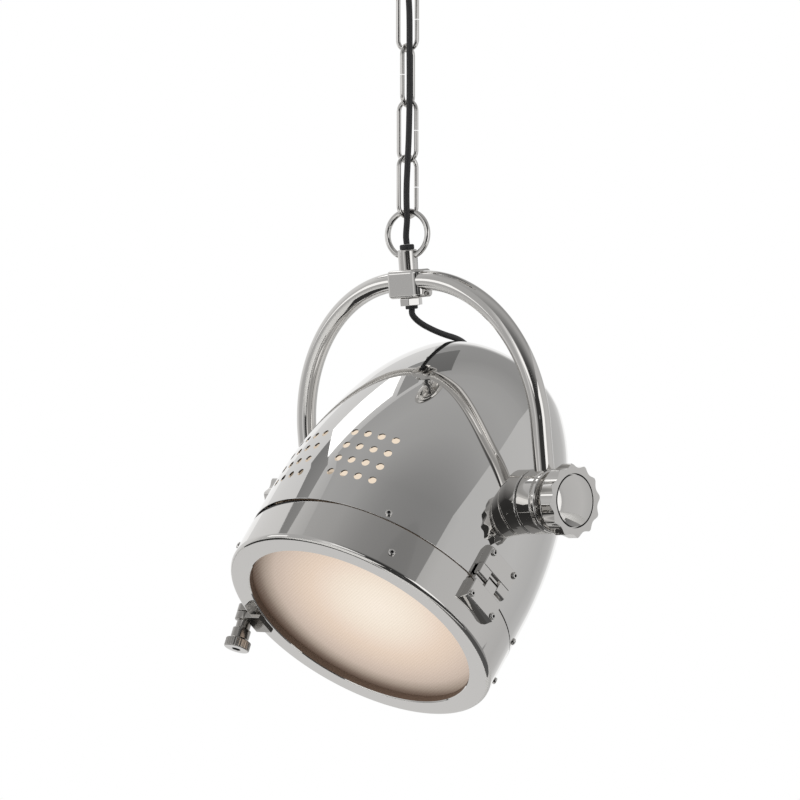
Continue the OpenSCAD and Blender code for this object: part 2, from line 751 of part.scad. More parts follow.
// Clamp knobs
module knob(side) {
    color("silver") in_lamp() on_side(side) along_x(knob_x) difference() {
        union() {
            cylinder(r = hub_r - 5, h = knob_neck + past);
            intersection() {
                translate([0, 0, knob_neck]) linear_extrude(knob_l) difference() {
                    circle(r = knob_r, $fn = 96);
                    for (i = [0 : flutes - 1]) rotate(i * 360 / flutes)
                        translate([knob_r - flute_depth + flute_r, 0]) circle(r = flute_r);
                }
                translate([0, 0, knob_neck]) lathe([
                    [0, 0], [knob_r - knob_slope, 0], [knob_r, knob_slope + 2], [knob_r, knob_l - 0.6],
                    [knob_r - 0.6, knob_l], [0, knob_l]
                ]);
            }
        }
        translate([0, 0, -past]) cylinder(d = stud_d + 2 * stud_play, h = knob_neck + knob_l + past);
        translate([0, 0, knob_neck + knob_l - cap_seat])
            cylinder(r = cap_r + cap_groove, h = cap_seat + past);
    }
}
module knob_left() { knob(-1); }
module knob_right() { knob(1); }
module knob_cap(side) {
    ball_r = (cap_r * cap_r + cap_dome * cap_dome) / (2 * cap_dome);
    color("whitesmoke") in_lamp() on_side(side) along_x(knob_face - cap_seat) lathe(concat(
        [[0, 0], [cap_r, 0]],
        [for (i = [0 : 8]) let (r = cap_r * (1 - i / 8))
            [r, cap_seat + sqrt(ball_r * ball_r - r * r) - (ball_r - cap_dome)]]
    ));
}
module knob_cap_left() { knob_cap(-1); }
module knob_cap_right() { knob_cap(1); }

// Rim of the shade
module rim_hoop() {
    outer = shade_r - shade_wall;
    color("silver") in_lamp() difference() {
        lathe([
            [outer - hoop_t, -seam_s + 1], [outer, -seam_s + 1], [outer, -seam_s + 15],
            [outer - hoop_t, -seam_s + 15]
        ]);
        for (turn = rim_turns) on_lamp(turn, rim_screw_s) along_x(shade_r - 10)
            cylinder(d = screw_d + 2 * hole_play, h = 20);
    }
}
module rim_screws() {
    color("silver") in_lamp() for (turn = rim_turns) on_lamp(turn, rim_screw_s)
        small_screw(shade_r, shade_r - shade_wall - hoop_t - 1);
}

// Electrics
module cable_outlet() {
    round = 3;
    color("dimgray") in_lamp() difference() {
        union() {
            translate([0, 0, dome_end]) lathe([
                [0, -3], [outlet_r, -3], [outlet_r, outlet_h - round], [outlet_r - round, outlet_h],
                [0, outlet_h]
            ]);
            translate([0, 0, dome_end + outlet_rise]) rotate([0, 0, -outlet_turn]) along_x(0)
                cylinder(d = cable_d + 3, h = outlet_reach);
        }
        shade_solid(0);
        translate([0, 0, dome_end - 10]) cylinder(d = nipple_d + 2 * hole_play, h = 14);
    }
}
holder_top = dome_end - 14;
module holder_nipple() {
    color("silver") in_lamp() translate([0, 0, holder_top - 6])
        cylinder(d = nipple_d, h = dome_end + 3.5 - holder_top + 6);
}
bulb_cap_h = 26;
module lampholder() {
    color("ivory") in_lamp() translate([0, 0, holder_top]) difference() {
        lathe([
            [0, 0], [holder_d / 4, 0], [holder_d / 2 - 4, -6], [holder_d / 2, -10], [holder_d / 2, -holder_l],
            [0, -holder_l]
        ]);
        translate([0, 0, -holder_l - past]) cylinder(d = bulb_cap_d + 2 * hole_play, h = bulb_cap_h + past);
        translate([0, 0, -8]) cylinder(d = nipple_d + 2 * hole_play, h = 8 + past);
    }
}
bulb_z = holder_top - holder_l;
module bulb_cap() {
    color("silver") in_lamp() translate([0, 0, bulb_z]) cylinder(d = bulb_cap_d, h = bulb_cap_h - 0.5);
}
module bulb() {
    color("lightyellow") in_lamp() translate([0, 0, bulb_z])
        lathe(concat(bulb_points(0), reversed(bulb_points(bulb_wall))));
}
bulb_wall = 1;
bulb_drop = 72;
function bulb_points(inset) = let (neck = bulb_cap_d / 2 - inset, globe = bulb_d / 2 - inset) concat(
    [[neck, 0], [neck + 1, -12], [globe * 0.74, -bulb_drop + 32]],
    [for (a = [30 : -12 : -78]) [globe * cos(a), -bulb_drop + globe * sin(a)]],
    [[0, -bulb_drop - globe]]
);

// Bezel and glass
module bezel_outline() {
    inner = shade_r - bezel_wall;
    polygon(concat(
        [[inner, -bezel_back], [shade_r, -bezel_back]],
        [for (a = [0 : -15 : -90]) [shade_r - lip_r + lip_r * cos(a), -bezel_face + lip_r + lip_r * sin(a)]],
        [[opening_r + 3, -bezel_face], [opening_r, -bezel_face + 2], [opening_r, -seat_s],
         [opening_r + seat_w, -seat_s], [opening_r + seat_w, -bezel_face + face_t],
         [inner - lip_r / 3, -bezel_face + face_t], [inner, -bezel_face + face_t + lip_r / 3]]
    ));
}
module bezel_solid() {
    rotate_extrude($fn = 96) union() {
        bezel_outline();
        translate([0, -bezel_face + 2]) square([opening_r + past, bezel_l - 2]);
        translate([0, -bezel_face + face_t - past]) square([shade_r - past, bezel_l - face_t + past]);
    }
}
module bezel() {
    color("gainsboro") in_lamp() difference() {
        rotate_extrude($fn = 96) bezel_outline();
        for (turn = bezel_turns) on_lamp(turn, bezel_screw_s) along_x(shade_r - 10)
            cylinder(d = screw_d + 2 * hole_play, h = 20);
        for (side = [-1, 1]) translate([0, side * leaf_screw_y, -hinge_s - leaf_screw_off])
            along_x(shade_r - 10)
            cylinder(d = screw_d + 2 * hole_play, h = 20);
    }
}
module gasket() {
    color("dimgray") in_lamp() translate([0, 0, -seat_s]) pipe(2 * glass_r, 2 * opening_r + 6, gasket_t);
}
module front_glass() {
    color("bisque") in_lamp() translate([0, 0, -seat_s + gasket_t]) cylinder(r = glass_r, h = glass_t);
}
module glass_clips() {
    width = 12;
    seat = shade_r - bezel_wall - 0.3;
    leg = glass_back - bezel_screw_s + 8;
    color("silver") in_lamp() for (turn = bezel_turns) on_lamp(turn, glass_back) difference() {
        union() {
            translate([seat - clip_t, -width / 2, 0]) cube([clip_t, width, leg]);
            translate([glass_r - 6, -width / 2, 0]) cube([seat - glass_r + 6, width, clip_t]);
        }
        translate([0, 0, glass_back - bezel_screw_s]) along_x(shade_r - 20)
            cylinder(d = screw_d + 2 * hole_play, h = 20);
    }
}
module bezel_screws() {
    color("silver") in_lamp() for (turn = bezel_turns) on_lamp(turn, bezel_screw_s)
        small_screw(shade_r, shade_r - bezel_wall - clip_t - 1.5);
}

// Hinge: plates with interleaved knuckles on one pin
module leaf_plate(s) {
    translate([shade_r - 8, -hinge_w / 2, -s - leaf_l / 2]) cube([leaf_top - shade_r + 8, hinge_w, leaf_l]);
}
module knuckle(y0, y1, reach) {
    translate([hinge_x, y0, -hinge_s]) rotate([-90, 0, 0]) cylinder(r = knuckle_r, h = y1 - y0);
    translate([hinge_x - knuckle_r, y0, -hinge_s + min(0, reach)]) cube([2 * knuckle_r, y1 - y0, abs(reach)]);
}
// Low ledge of a leaf, from its plate towards the other leaf's knuckles
module leaf_ledge(side) {
    low = knuckle_r + ledge_clear;
    tall = leaf_reach + past - low;
    translate([hinge_x - 3.2, -hinge_w / 2, -hinge_s + (side > 0 ? low : -low - tall)])
        cube([4.6, hinge_w, tall]);
}
module pin_bore(d) {
    translate([hinge_x, -hinge_w, -hinge_s]) rotate([-90, 0, 0]) cylinder(d = d, h = 2 * hinge_w);
}
module leaf_screw_holes(s) {
    for (side = [-1, 1]) translate([0, side * leaf_screw_y, -s]) along_x(shade_r - 10)
        cylinder(d = screw_d + 2 * hole_play, h = 30);
}
leaf_reach = knuckle_r + leaf_gap;
leaf_mid = leaf_reach + leaf_l / 2;
module hinge_leaf_shade() {
    color("silver") in_lamp() difference() {
        union() {
            leaf_plate(hinge_s - leaf_mid);
            leaf_ledge(1);
            for (side = [-1, 1]) on_hinge_side(side)
                knuckle(knuckle_w / 2 + knuckle_side, hinge_w / 2, leaf_reach + past);
        }
        translate([0, 0, -seam_s - 40]) cylinder(r = shade_r, h = 80, $fn = 96);
        pin_bore(hinge_pin_d + 0.06);
        leaf_screw_holes(hinge_s - leaf_screw_off);
    }
}
module on_hinge_side(side) {
    if (side > 0) children();
    else mirror([0, 1, 0]) children();
}
module hinge_leaf_bezel() {
    color("silver") in_lamp() difference() {
        union() {
            leaf_plate(hinge_s + leaf_mid);
            leaf_ledge(-1);
            knuckle(-knuckle_w / 2, knuckle_w / 2, -leaf_reach - past);
        }
        translate([0, 0, -bezel_face - 10]) cylinder(r = shade_r, h = 80, $fn = 96);
        pin_bore(hinge_pin_d + 0.2);
        leaf_screw_holes(hinge_s + leaf_screw_off);
    }
}
module hinge_pin() {
    color("silver") in_lamp() translate([hinge_x, -hinge_w / 2 - 0.5, -hinge_s]) rotate([-90, 0, 0])
        cylinder(d = hinge_pin_d, h = hinge_w + 1);
}
module leaf_screws(s, depth) {
    for (side = [-1, 1]) translate([0, side * leaf_screw_y, -s]) small_screw(leaf_top, depth);
}
module hinge_screws_shade() {
    color("silver") in_lamp() leaf_screws(hinge_s - leaf_screw_off, shade_r - 6);
}
module hinge_screws_bezel() {
    color("silver") in_lamp() leaf_screws(hinge_s + leaf_screw_off, shade_r - 6);
}

// Latch: the screw leans along the rim, so its bracket is turned with it
module on_latch() {
    on_lamp(latch_turn, latch_wing_s) translate([latch_r, 0, 0]) rotate([-latch_lean, 0, 0]) children();
}
module latch_bracket() {
    color("gray") in_lamp() difference() {
        union() {
            on_latch() {
                translate([0, 0, -latch_wing_t / 2]) cylinder(r = latch_w / 2 - 1.5, h = latch_wing_t);
                translate([-latch_out - 4, -latch_w / 2 + 1.5, -latch_wing_t / 2])
                    cube([latch_out + 4, latch_w - 3, latch_wing_t]);
            }
            on_lamp(latch_turn, bezel_face + 2.5)
                translate([opening_r + 6, -latch_w / 2, 0]) cube([shade_r - opening_r - 2, latch_w, 24]);
        }
        bezel_solid();
        on_latch() translate([0, 0, -30]) cylinder(d = latch_screw_d + 4 * hole_play, h = 60);
    }
}
lug_s = seam_s - 12;
lug_t = 8;
lug_y = (latch_wing_s - lug_s) * tan(latch_lean);
module latch_lug() {
    slot = latch_screw_d + 2;
    color("silver") in_lamp() difference() {
        on_lamp(latch_turn, lug_s) translate([0, lug_y, 0]) union() {
            translate([shade_r - 8, -latch_w / 2, -lug_t / 2]) cube([latch_out + 8, latch_w, lug_t]);
            translate([latch_r, 0, -lug_t / 2]) cylinder(d = latch_w, h = lug_t);
        }
        translate([0, 0, -seam_s - 40]) cylinder(r = shade_r, h = 80, $fn = 96);
        on_lamp(latch_turn, lug_s) translate([latch_r - slot / 2, lug_y - slot * 0.8, -lug_t])
            cube([latch_w, slot * 1.6, 2 * lug_t]);
    }
}
thumb_l = 38;
module thumbscrew() {
    front = -latch_wing_t / 2 - face_gap;
    color("silver") in_lamp() on_latch() {
        difference() {
            translate([0, 0, front]) lathe([
                [0, 0], [thumb_r * 0.8, 0], [thumb_r * 0.8, -8], [thumb_r * 0.57, -9], [thumb_r * 0.57, -16],
                [thumb_r * 0.72, -17], [thumb_r * 0.72, -27], [thumb_r, -29], [thumb_r, -thumb_l + 1.5],
                [thumb_r - 1.5, -thumb_l], [0, -thumb_l]
            ]);
            translate([0, 0, front - thumb_l - past]) cylinder(r = thumb_r * 0.33, h = 10 + past);
        }
        translate([0, 0, front - past]) cylinder(d = latch_screw_d, h = latch_reach + past);
    }
}
module latch_clip() {
    color("dimgray") in_lamp() on_latch() translate([0, 0, latch_wing_t / 2 + face_gap])
        pipe(latch_screw_d + 5, latch_screw_d + 0.04, 1.5);
}

canopy();
crossbar();
hook();
hook_nut();
canopy_gland();
cable_1();
link_1();
cable_2();
link_2();
cable_3();
link_3();
cable_4();
link_4();
cable_5();
bail();
cable_6();
stem();
stem_bush();
collar();
collar_nut();
collar_bush();
set_screws();
yoke_arm_left();
yoke_arm_right();
yoke_boss_left();
yoke_boss_right();
cable_7();
shade();
saddle_bosses();
friction_washers();
pivot_studs();
saddle_pads();
stud_nuts();
rim_hoop();
rim_screws();
cable_outlet();
holder_nipple();
lampholder();
bulb_cap();
bulb();
hinge_leaf_shade();
hinge_pin();
hinge_screws_shade();
latch_lug();
knob_left();
knob_cap_left();
knob_right();
knob_cap_right();
bezel();
gasket();
front_glass();
glass_clips();
bezel_screws();
hinge_leaf_bezel();
hinge_screws_bezel();
latch_bracket();
thumbscrew();
latch_clip();
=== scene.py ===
# %% [markdown]
# # Pendant spot light
# A polished bullet shade tilts in a bent tube yoke, which hangs on four chain links under the ceiling.
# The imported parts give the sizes, the places and the joints.
# This lesson dresses them for the photo's view, one kind of piece at a time.

# %% Load the frame
import math
import bmesh
import bpy
from mathutils import Matrix, Vector


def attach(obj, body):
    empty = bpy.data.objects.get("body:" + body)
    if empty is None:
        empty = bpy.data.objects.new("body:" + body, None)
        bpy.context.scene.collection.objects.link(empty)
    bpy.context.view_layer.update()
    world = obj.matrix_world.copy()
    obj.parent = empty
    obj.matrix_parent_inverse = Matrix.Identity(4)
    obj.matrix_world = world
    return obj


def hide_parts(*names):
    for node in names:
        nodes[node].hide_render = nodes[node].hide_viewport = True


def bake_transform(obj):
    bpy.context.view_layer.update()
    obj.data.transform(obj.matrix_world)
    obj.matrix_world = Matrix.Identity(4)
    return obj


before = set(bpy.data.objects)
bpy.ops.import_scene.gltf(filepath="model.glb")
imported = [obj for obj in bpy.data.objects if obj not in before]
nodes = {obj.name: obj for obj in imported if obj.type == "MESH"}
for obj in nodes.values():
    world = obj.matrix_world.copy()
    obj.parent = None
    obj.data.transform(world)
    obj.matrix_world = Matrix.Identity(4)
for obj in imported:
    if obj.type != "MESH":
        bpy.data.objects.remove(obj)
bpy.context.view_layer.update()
scene = bpy.context.scene

# %% [markdown]
# ## Frames and sizes
# Shapes are drawn upright in millimetres, where numbers are simple, and a matrix puts them in place.
# There are three frames. The yoke hangs in the room from the bail's pegs, and the lamp tilts in the yoke.
# In the lamp's frame the pivot is the origin, the nose is up and the glass is down.

# %% Frames and sizes
MM = 0.001
PEG_Z = -322.226
DOME_END = 173.592
ARCH_Z = 223.592
PEG_HEIGHT = ARCH_Z + 26.5
STEM_TOP = PEG_HEIGHT + 5.2
COLLAR_FOOT = ARCH_Z - 17
SHADE_R = 142.5
YOKE_HALF = 163.0
YOKE_LEAN = 6.4
LAMP_TILT = -44.6
SIDES = ((1, "right"), (-1, "left"))


def shift(x, y, z):
    return Matrix.Translation((x, y, z))


def spin(degrees, axis):
    return Matrix.Rotation(math.radians(degrees), 4, axis)


def along_x(place, x, side):
    """Turns a lathe's axis outwards along the pivot axis, on the right or the left."""
    return place @ shift(side * x, 0, 0) @ spin(side * 90, "Y")


UNMOVED = Matrix.Identity(4)
ROOM = Matrix.Diagonal((MM, MM, MM, 1))
YOKE = ROOM @ shift(0, 0, PEG_Z) @ spin(YOKE_LEAN, "X") @ shift(0, 0, -PEG_HEIGHT)
LAMP = YOKE @ spin(LAMP_TILT, "X")
TO_LAMP = LAMP.inverted()
LAMP_TURN = LAMP.to_3x3().normalized()
PIVOT = YOKE @ Vector((0, 0, 0))
print("pivot at", [round(v, 4) for v in PIVOT])

# %% [markdown]
# ## Camera
# The photo is taken with a long lens from the lamp's right front, a little below the pivot.
# One pixel is one millimetre at the pivot, so the pivot's pixel gives the aim.

# %% Camera
CAMERA_AWAY = 5
PICTURE_MIDDLE = 400
PIVOT_PIXEL = (427.1, 504.08)


def linked(name, data):
    """Makes an object and links it to the scene."""
    obj = bpy.data.objects.new(name, data)
    scene.collection.objects.link(obj)
    return obj


right = Vector((0.716, 0.698, 0)).normalized()
back = Vector((0.698, -0.716, -0.023)).normalized()
above = back.cross(right)
camera = linked("camera", bpy.data.cameras.new("camera"))
scene.camera = camera
camera.data.lens = 225
camera.data.sensor_width = 36
camera.data.clip_end = 60
camera.location = PIVOT + CAMERA_AWAY * back
aside = (PICTURE_MIDDLE - PIVOT_PIXEL[0]) * MM
upward = (PIVOT_PIXEL[1] - PICTURE_MIDDLE) * MM
aim = (-CAMERA_AWAY * back + aside * right + upward * above).normalized()
camera.rotation_euler = aim.to_track_quat("-Z", "Y").to_euler()
print("camera at", [round(v, 3) for v in camera.location])

# %% [markdown]
# ## Outlines
# Most of the lamp is turned or spun metal, so its pieces begin as outlines beside an axis.
# An outline is a list of points with outward normals, drawn with the inside on its left.
# Normals from the drawing, and not from the faces, let polished pieces mirror without ripples.

# %% Outlines
NEARLY_STRAIGHT = 0.02
EDGE_SHARE = 0.46


def run(a, b):
    """The direction and the length from one point to the next."""
    size = math.hypot(b[0] - a[0], b[1] - a[1])
    return (b[0] - a[0]) / size, (b[1] - a[1]) / size, size


def rounded(points, soft=0.5, closed=False, steps=4):
    """Rounds the corners of an outline. A third number at a point is its own rounding."""
    out = []
    count = len(points)
    for i, (x, z, *own) in enumerate(points):
        if not closed and i in (0, count - 1):
            dx, dz, _ = run(points[0], points[1]) if i == 0 else run(points[-2], points[-1])
            out.append((x, z, dz, -dx))
            continue
        ax, az, before = run(points[i - 1], (x, z))
        bx, bz, after = run((x, z), points[(i + 1) % count])
        turn = math.atan2(ax * bz - az * bx, ax * bx + az * bz)
        start = math.atan2(-ax, az)
        if abs(turn) < NEARLY_STRAIGHT:
            out.append((x, z, math.cos(start + turn / 2), math.sin(start + turn / 2)))
            continue
        half = math.tan(abs(turn) / 2)
        reach = min((own[0] if own else soft) * half, EDGE_SHARE * before, EDGE_SHARE * after)
        radius = math.copysign(reach / half, turn)
        cx = x - ax * reach - radius * az
        cz = z - az * reach + radius * ax
        for k in range(steps + 1):
            c, s = math.cos(start + turn * k / steps), math.sin(start + turn * k / steps)
            out.append((cx + radius * c, cz + radius * s, c, s))
    return out


def arc(cx, cz, radius, first, last, steps, sign=1):
    """Points of an arc in degrees; sign -1 makes its normals point to the middle."""
    out = []
    for k in range(steps + 1):
        a = math.radians(first + (last - first) * k / steps)
        c, s = math.cos(a), math.sin(a)
        out.append((cx + radius * c, cz + radius * s, sign * c, sign * s))
    return out


print("outline builders ready")

# %% [markdown]
# ## Lathes, tubes and pillars
# A lathe turns an outline, a tube runs a circle along a path, and a pillar draws a plan upwards.
# Blender's Spin tool could turn an outline too, but it would lose the drawn normals.

# %% Lathes
ON_AXIS = 1e-6


def ring_pairs(count):
    """Each place on a closed ring with the next one."""
    return [(k, (k + 1) % count) for k in range(count)]


def circle(sides):
    turns = [2 * math.pi * k / sides for k in range(sides)]
    return [(math.cos(a), math.sin(a)) for a in turns]


def skin(rings, closed=False):
    """A shape over rings of points with normals: points, faces and normals. A ring of one point is a pole."""
    sides = max(map(len, rings))
    points, normals, numbers, faces = [], [], [], []
    for ring in rings:
        numbers.append([len(points) + k % len(ring) for k in range(sides)])
        points += [point for point, _ in ring]
        normals += [normal for _, normal in ring]
    for low, high in zip(numbers, numbers[1:] + numbers[:1] if closed else numbers[1:]):
        for k, n in ring_pairs(sides):
            face = list(dict.fromkeys((low[k], low[n], high[n], high[k])))
            if len(face) > 2:
                faces.append(face)
    return points, faces, normals


def lathe(outline, sides=96, closed=False):
    """Turns an outline round its axis."""
    rings = []
    for r, z, nr, nz in outline:
        if r < ON_AXIS:
            rings.append([((0, 0, z), (0, 0, math.copysign(1, nz)))])
        else:
            rings.append([((r * c, r * s, z), (nr * c, nr * s, nz)) for c, s in circle(sides)])
    return skin(rings, closed)


print("lathe ready")

# %% Tubes and pillars
def tube(path, radius, sides=20):
    """Runs a circle along a path and closes the ends."""
    path = [Vector(p) for p in path]
    across = (path[1] - path[0]).orthogonal()
    rings = [[(path[0], (path[0] - path[1]).normalized())]]
    for before, here, after in zip(path[:1] + path, path, path[1:] + path[-1:]):
        ahead = (after - before).normalized()
        across = (across - ahead * across.dot(ahead)).normalized()
        other = ahead.cross(across)
        ways = [across * c + other * s for c, s in circle(sides)]
        rings.append([(here + radius * way, way) for way in ways])
    return skin(rings + [[(path[-1], (path[-1] - path[-2]).normalized())]])


def pillar(plan, low, high, edge, steps=6):
    """Draws a closed plan upwards, with round edges at its foot and its top."""
    turns = [math.radians(90 * k / steps) for k in range(steps + 1)]
    rings = [[((0, 0, low), (0, 0, -1))]]
    for z, way, bends in ((low + edge, -1, turns[::-1]), (high - edge, 1, turns)):
        for a in bends:
            c, s = math.cos(a), way * math.sin(a)
            inset = edge * (1 - c)
            spots = [(x - inset * nx, y - inset * ny, z + edge * s) for x, y, nx, ny in plan]
            rings.append(list(zip(spots, [(nx * c, ny * c, s) for _, _, nx, ny in plan])))
    return skin(rings + [[((0, 0, high), (0, 0, 1))]])


def joined(*shapes):
    """Several shapes as one."""
    points, faces, normals = [], [], []
    for p, f, n in shapes:
        faces += [[i + len(points) for i in face] for face in f]
        points += p
        normals += n
    return points, faces, normals


def moved(shape, place):
    """A shape put in another place of the same frame."""
    turn = place.to_3x3().normalized()
    points, faces, normals = shape
    return [tuple(place @ Vector(p)) for p in points], faces, [tuple(turn @ Vector(n)) for n in normals]


print("shape builders ready")

# %% [markdown]
# ## Putting shapes in the scene
# A piece sits at the origin with its place in its mesh, so that patterns on it stay put in the export.
# Each piece is dressed: it gets its finish, the body it rides on and the CAD nodes it stands for.

# %% Putting shapes in the scene
def all_smooth(mesh):
    mesh.polygons.foreach_set("use_smooth", [True] * len(mesh.polygons))


def put(name, shape, place=ROOM):
    """Makes a mesh object from a shape."""
    points, faces, normals = moved(shape, place)
    mesh = bpy.data.meshes.new(name)
    mesh.from_pydata(points, [], faces)
    all_smooth(mesh)
    mesh.normals_split_custom_set_from_vertices(normals)
    return linked(name, mesh)


def dress(obj, body, material, *replaced):
    """Gives a piece its finish and its body, and lets it stand for CAD nodes."""
    obj.data.materials.clear()
    obj.data.materials.append(material)
    if body:
        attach(obj, body)
    if replaced:
        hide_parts(*replaced)
    return obj


def turned(name, outline, place, body, material, *replaced, sides=96, closed=False):
    """A piece from the lathe, put in its place and dressed."""
    return dress(put(name, lathe(outline, sides, closed), place), body, material, *replaced)


def applied(obj):
    """Turns an object with modifiers into one with a plain mesh."""
    graph = bpy.context.evaluated_depsgraph_get()
    mesh = bpy.data.meshes.new_from_object(obj.evaluated_get(graph))
    name, old = obj.name, obj.data
    bpy.data.objects.remove(obj)
    (bpy.data.meshes if isinstance(old, bpy.types.Mesh) else bpy.data.curves).remove(old)
    mesh.name = name
    return linked(name, mesh)


print("putting and dressing ready")

# %% [markdown]
# ## Rounded edges
# Sawn and cast fittings have small round edges that catch the light.
# They are merged copies of CAD nodes, or bars with a drawn outline, and a Bevel modifier rounds both.
# On a copy it takes only the hard edges that don't lie on the shade.

# %% Rounded edges
HARD_TURN = math.radians(35)
BAR_TURN = math.radians(40)
SAME_PLACE = 2e-6
FLAT_TURN = math.radians(0.5)


def bevelled(name, form, mesh, width, segments, **settings):
    """Rounds the edges of a form and gives back a plain mesh object."""
    for face in form.faces:
        face.smooth = True
    form.to_mesh(mesh)
    form.free()
    obj = linked(name, mesh)
    bevel = obj.modifiers.new("edge", "BEVEL")
    bevel.width = width * MM
    bevel.segments = segments
    bevel.harden_normals = True
    for key, value in settings.items():
        setattr(bevel, key, value)
    return applied(obj)


def softened(node, width, segments=2, skin=None):
    """A copy of a CAD node with rounded edges, except those inside a radius of the lamp."""
    cad = nodes[node]
    mesh = cad.data.copy()
    mesh.transform(cad.matrix_world)
    mesh.materials.clear()
    if mesh.has_custom_normals:
        mesh.attributes.remove(mesh.attributes["custom_normal"])
    form = bmesh.new()
    form.from_mesh(mesh)
    bmesh.ops.remove_doubles(form, verts=form.verts, dist=SAME_PLACE)
    bmesh.ops.dissolve_limit(form, angle_limit=FLAT_TURN, verts=form.verts, edges=form.edges)
    weight = form.edges.layers.float.new("bevel_weight_edge")
    for edge in form.edges:
        hard = edge.is_manifold and edge.calc_face_angle() > HARD_TURN
        near = skin and all((TO_LAMP @ v.co).xy.length < skin for v in edge.verts)
        edge[weight] = 1.0 if hard and not near else 0.0
        edge.smooth = not (hard and near)
    name = node + "_soft"
    return bevelled(name, form, mesh, width, segments, limit_method="WEIGHT", use_clamp_overlap=False)


def bars(name, parts, soft, place, segments=4):
    """Outlines in x and z, each drawn out along y, with rounded edges."""
    form = bmesh.new()
    for outline, *span in parts:
        near, far = ([form.verts.new(place @ Vector((x, y, z))) for x, z in outline] for y in span)
        for k, n in ring_pairs(len(outline)):
            form.faces.new((near[k], near[n], far[n], far[k]))
        form.faces.new(near)
        form.faces.new(far)
    bmesh.ops.recalc_face_normals(form, faces=form.faces)
    mesh = bpy.data.meshes.new(name)
    return bevelled(name, form, mesh, soft, segments, limit_method="ANGLE", angle_limit=BAR_TURN)


print("edge builders ready")

# %% [markdown]
# ## Node helpers
# Finishes and repeated shapes are made of nodes, whose inputs take a link or a value.
# One function adds a node with all its inputs, so that each tree below reads like a list of steps.

# %% Node helpers
def feed(node, inputs):
    """Fills inputs of a node: a node or a socket is linked, also several from a list, and a value is set."""
    for key, value in inputs.items():
        for one in value if isinstance(value, list) else [value]:
            one = one.outputs[0] if isinstance(one, bpy.types.Node) else one
            if isinstance(one, bpy.types.NodeSocket):
                node.id_data.links.new(one, node.inputs[key])
            else:
                node.inputs[key].default_value = one


def nodes_in(tree):
    """Gives two tools for a tree: one adds any node, the other adds a math node."""
    def add(kind, inputs=None, **settings):
        made = tree.nodes.new(kind)
        for key, value in settings.items():
            setattr(made, key, value)
        feed(made, inputs or {})
        return made

    def calc(operation, *values):
        return add("ShaderNodeMath", dict(enumerate(values)), operation=operation)

    return add, calc


def ramp_in(add, fac, stops):
    """Adds a colour ramp with these stops."""
    ramp = add("ShaderNodeValToRGB", {"Fac": fac})
    elements = ramp.color_ramp.elements
    elements.remove(elements[1])
    for i, (position, color) in enumerate(stops):
        stop = elements.new(position) if i else elements[0]
        stop.position = position
        stop.color = (*color, 1)
    return ramp


print("node helpers ready")

# %% [markdown]
# ## Finishes
# The lamp is polished metal with faint marks from the buffing wheel and from use.
# Noise on Object coordinates is enough for them: it varies the roughness and gives a fine height.
# The marks are a group, which each finish takes with its own amounts.

# %% Polish marks
marks = bpy.data.node_groups.new("polish_marks", "ShaderNodeTree")
for socket, value in (("Roughness", 0.08), ("Spread", 0.05), ("Scale", 60.0)):
    marks.interface.new_socket(socket, in_out="INPUT", socket_type="NodeSocketFloat").default_value = value
for socket in ("Roughness", "Height"):
    marks.interface.new_socket(socket, in_out="OUTPUT", socket_type="NodeSocketFloat")
add, calc = nodes_in(marks)
given = add("NodeGroupInput").outputs
where = add("ShaderNodeTexCoord").outputs["Object"]
cloud = add("ShaderNodeTexNoise", {"Vector": where, "Scale": given["Scale"], "Detail": 4})
rough = calc("MULTIPLY_ADD", cloud, given["Spread"], given["Roughness"])
add("NodeGroupOutput", {"Roughness": rough, "Height": cloud})
print("group polish_marks made")

# %% [markdown]
# Aluminium is the brightest metal, nickel is warmer, the latch gets darker nickel as painted shade, and nuts
# are dull steel.
# The bulb and the lining behind the vents glow by themselves, which is steadier than bounced light.

# %% Metals and other finishes
MARK_DEPTH = 0.0004


def finish_of(name, color, metallic, roughness, spread=0.0, scale=60.0, bump=0.0, glow=None):
    """A principled finish; spread and bump take the shared marks, and glow is its own light."""
    material = bpy.data.materials.new(name + "_finish")
    material.use_nodes = True
    add, _ = nodes_in(material.node_tree)
    shader = material.node_tree.nodes["Principled BSDF"]
    feed(shader, {"Base Color": (*color, 1), "Metallic": metallic, "Roughness": roughness})
    if glow:
        feed(shader, {"Emission Color": (*glow, 1), "Emission Strength": 1.0})
    if spread:
        amounts = {"Roughness": roughness, "Spread": spread, "Scale": scale}
        group = add("ShaderNodeGroup", amounts, node_tree=marks).outputs
        feed(shader, {"Roughness": group["Roughness"]})
        if bump:
            height = {"Strength": bump, "Distance": MARK_DEPTH, "Height": group["Height"]}
            feed(shader, {"Normal": add("ShaderNodeBump", height)})
    return material


aluminium = finish_of("polished_aluminium", (0.74, 0.73, 0.715), 1.0, 0.015, 0.02, 25.0)
nickel = finish_of("polished_nickel", (0.73, 0.715, 0.695), 1.0, 0.025, 0.03, 60.0)
# Darker nickel for the latch: painted shade for its dim reflections and shadowed parts.
worn_nickel = finish_of("worn_nickel", (0.40, 0.385, 0.365), 1.0, 0.12, 0.08, 120.0)
steel = finish_of("plain_steel", (0.50, 0.49, 0.47), 1.0, 0.28, 0.12, 120.0)
rubber = finish_of("black_rubber", (0.012, 0.012, 0.013), 0.0, 0.45, 0.15, 300.0, 0.15)
plastic = finish_of("black_plastic", (0.02, 0.02, 0.021), 0.0, 0.35, 0.1, 200.0)
ceramic = finish_of("white_ceramic", (0.80, 0.78, 0.73), 0.0, 0.25, 0.08, 90.0)
bulb_glass = finish_of("bulb_glass", (0.9, 0.86, 0.78), 0.0, 0.3, 0.06, 80.0, glow=(1.0, 0.80, 0.56))
lit_inside = finish_of("lit_inside", (0.05, 0.045, 0.04), 0.0, 0.6, 0.1, 60.0, glow=(0.80, 0.68, 0.55))
# Dark brown for the opening's inner wall, as painted shade.
opening_wall = finish_of("opening_wall", (0.13, 0.085, 0.06), 0.0, 0.45, 0.1, 150.0)
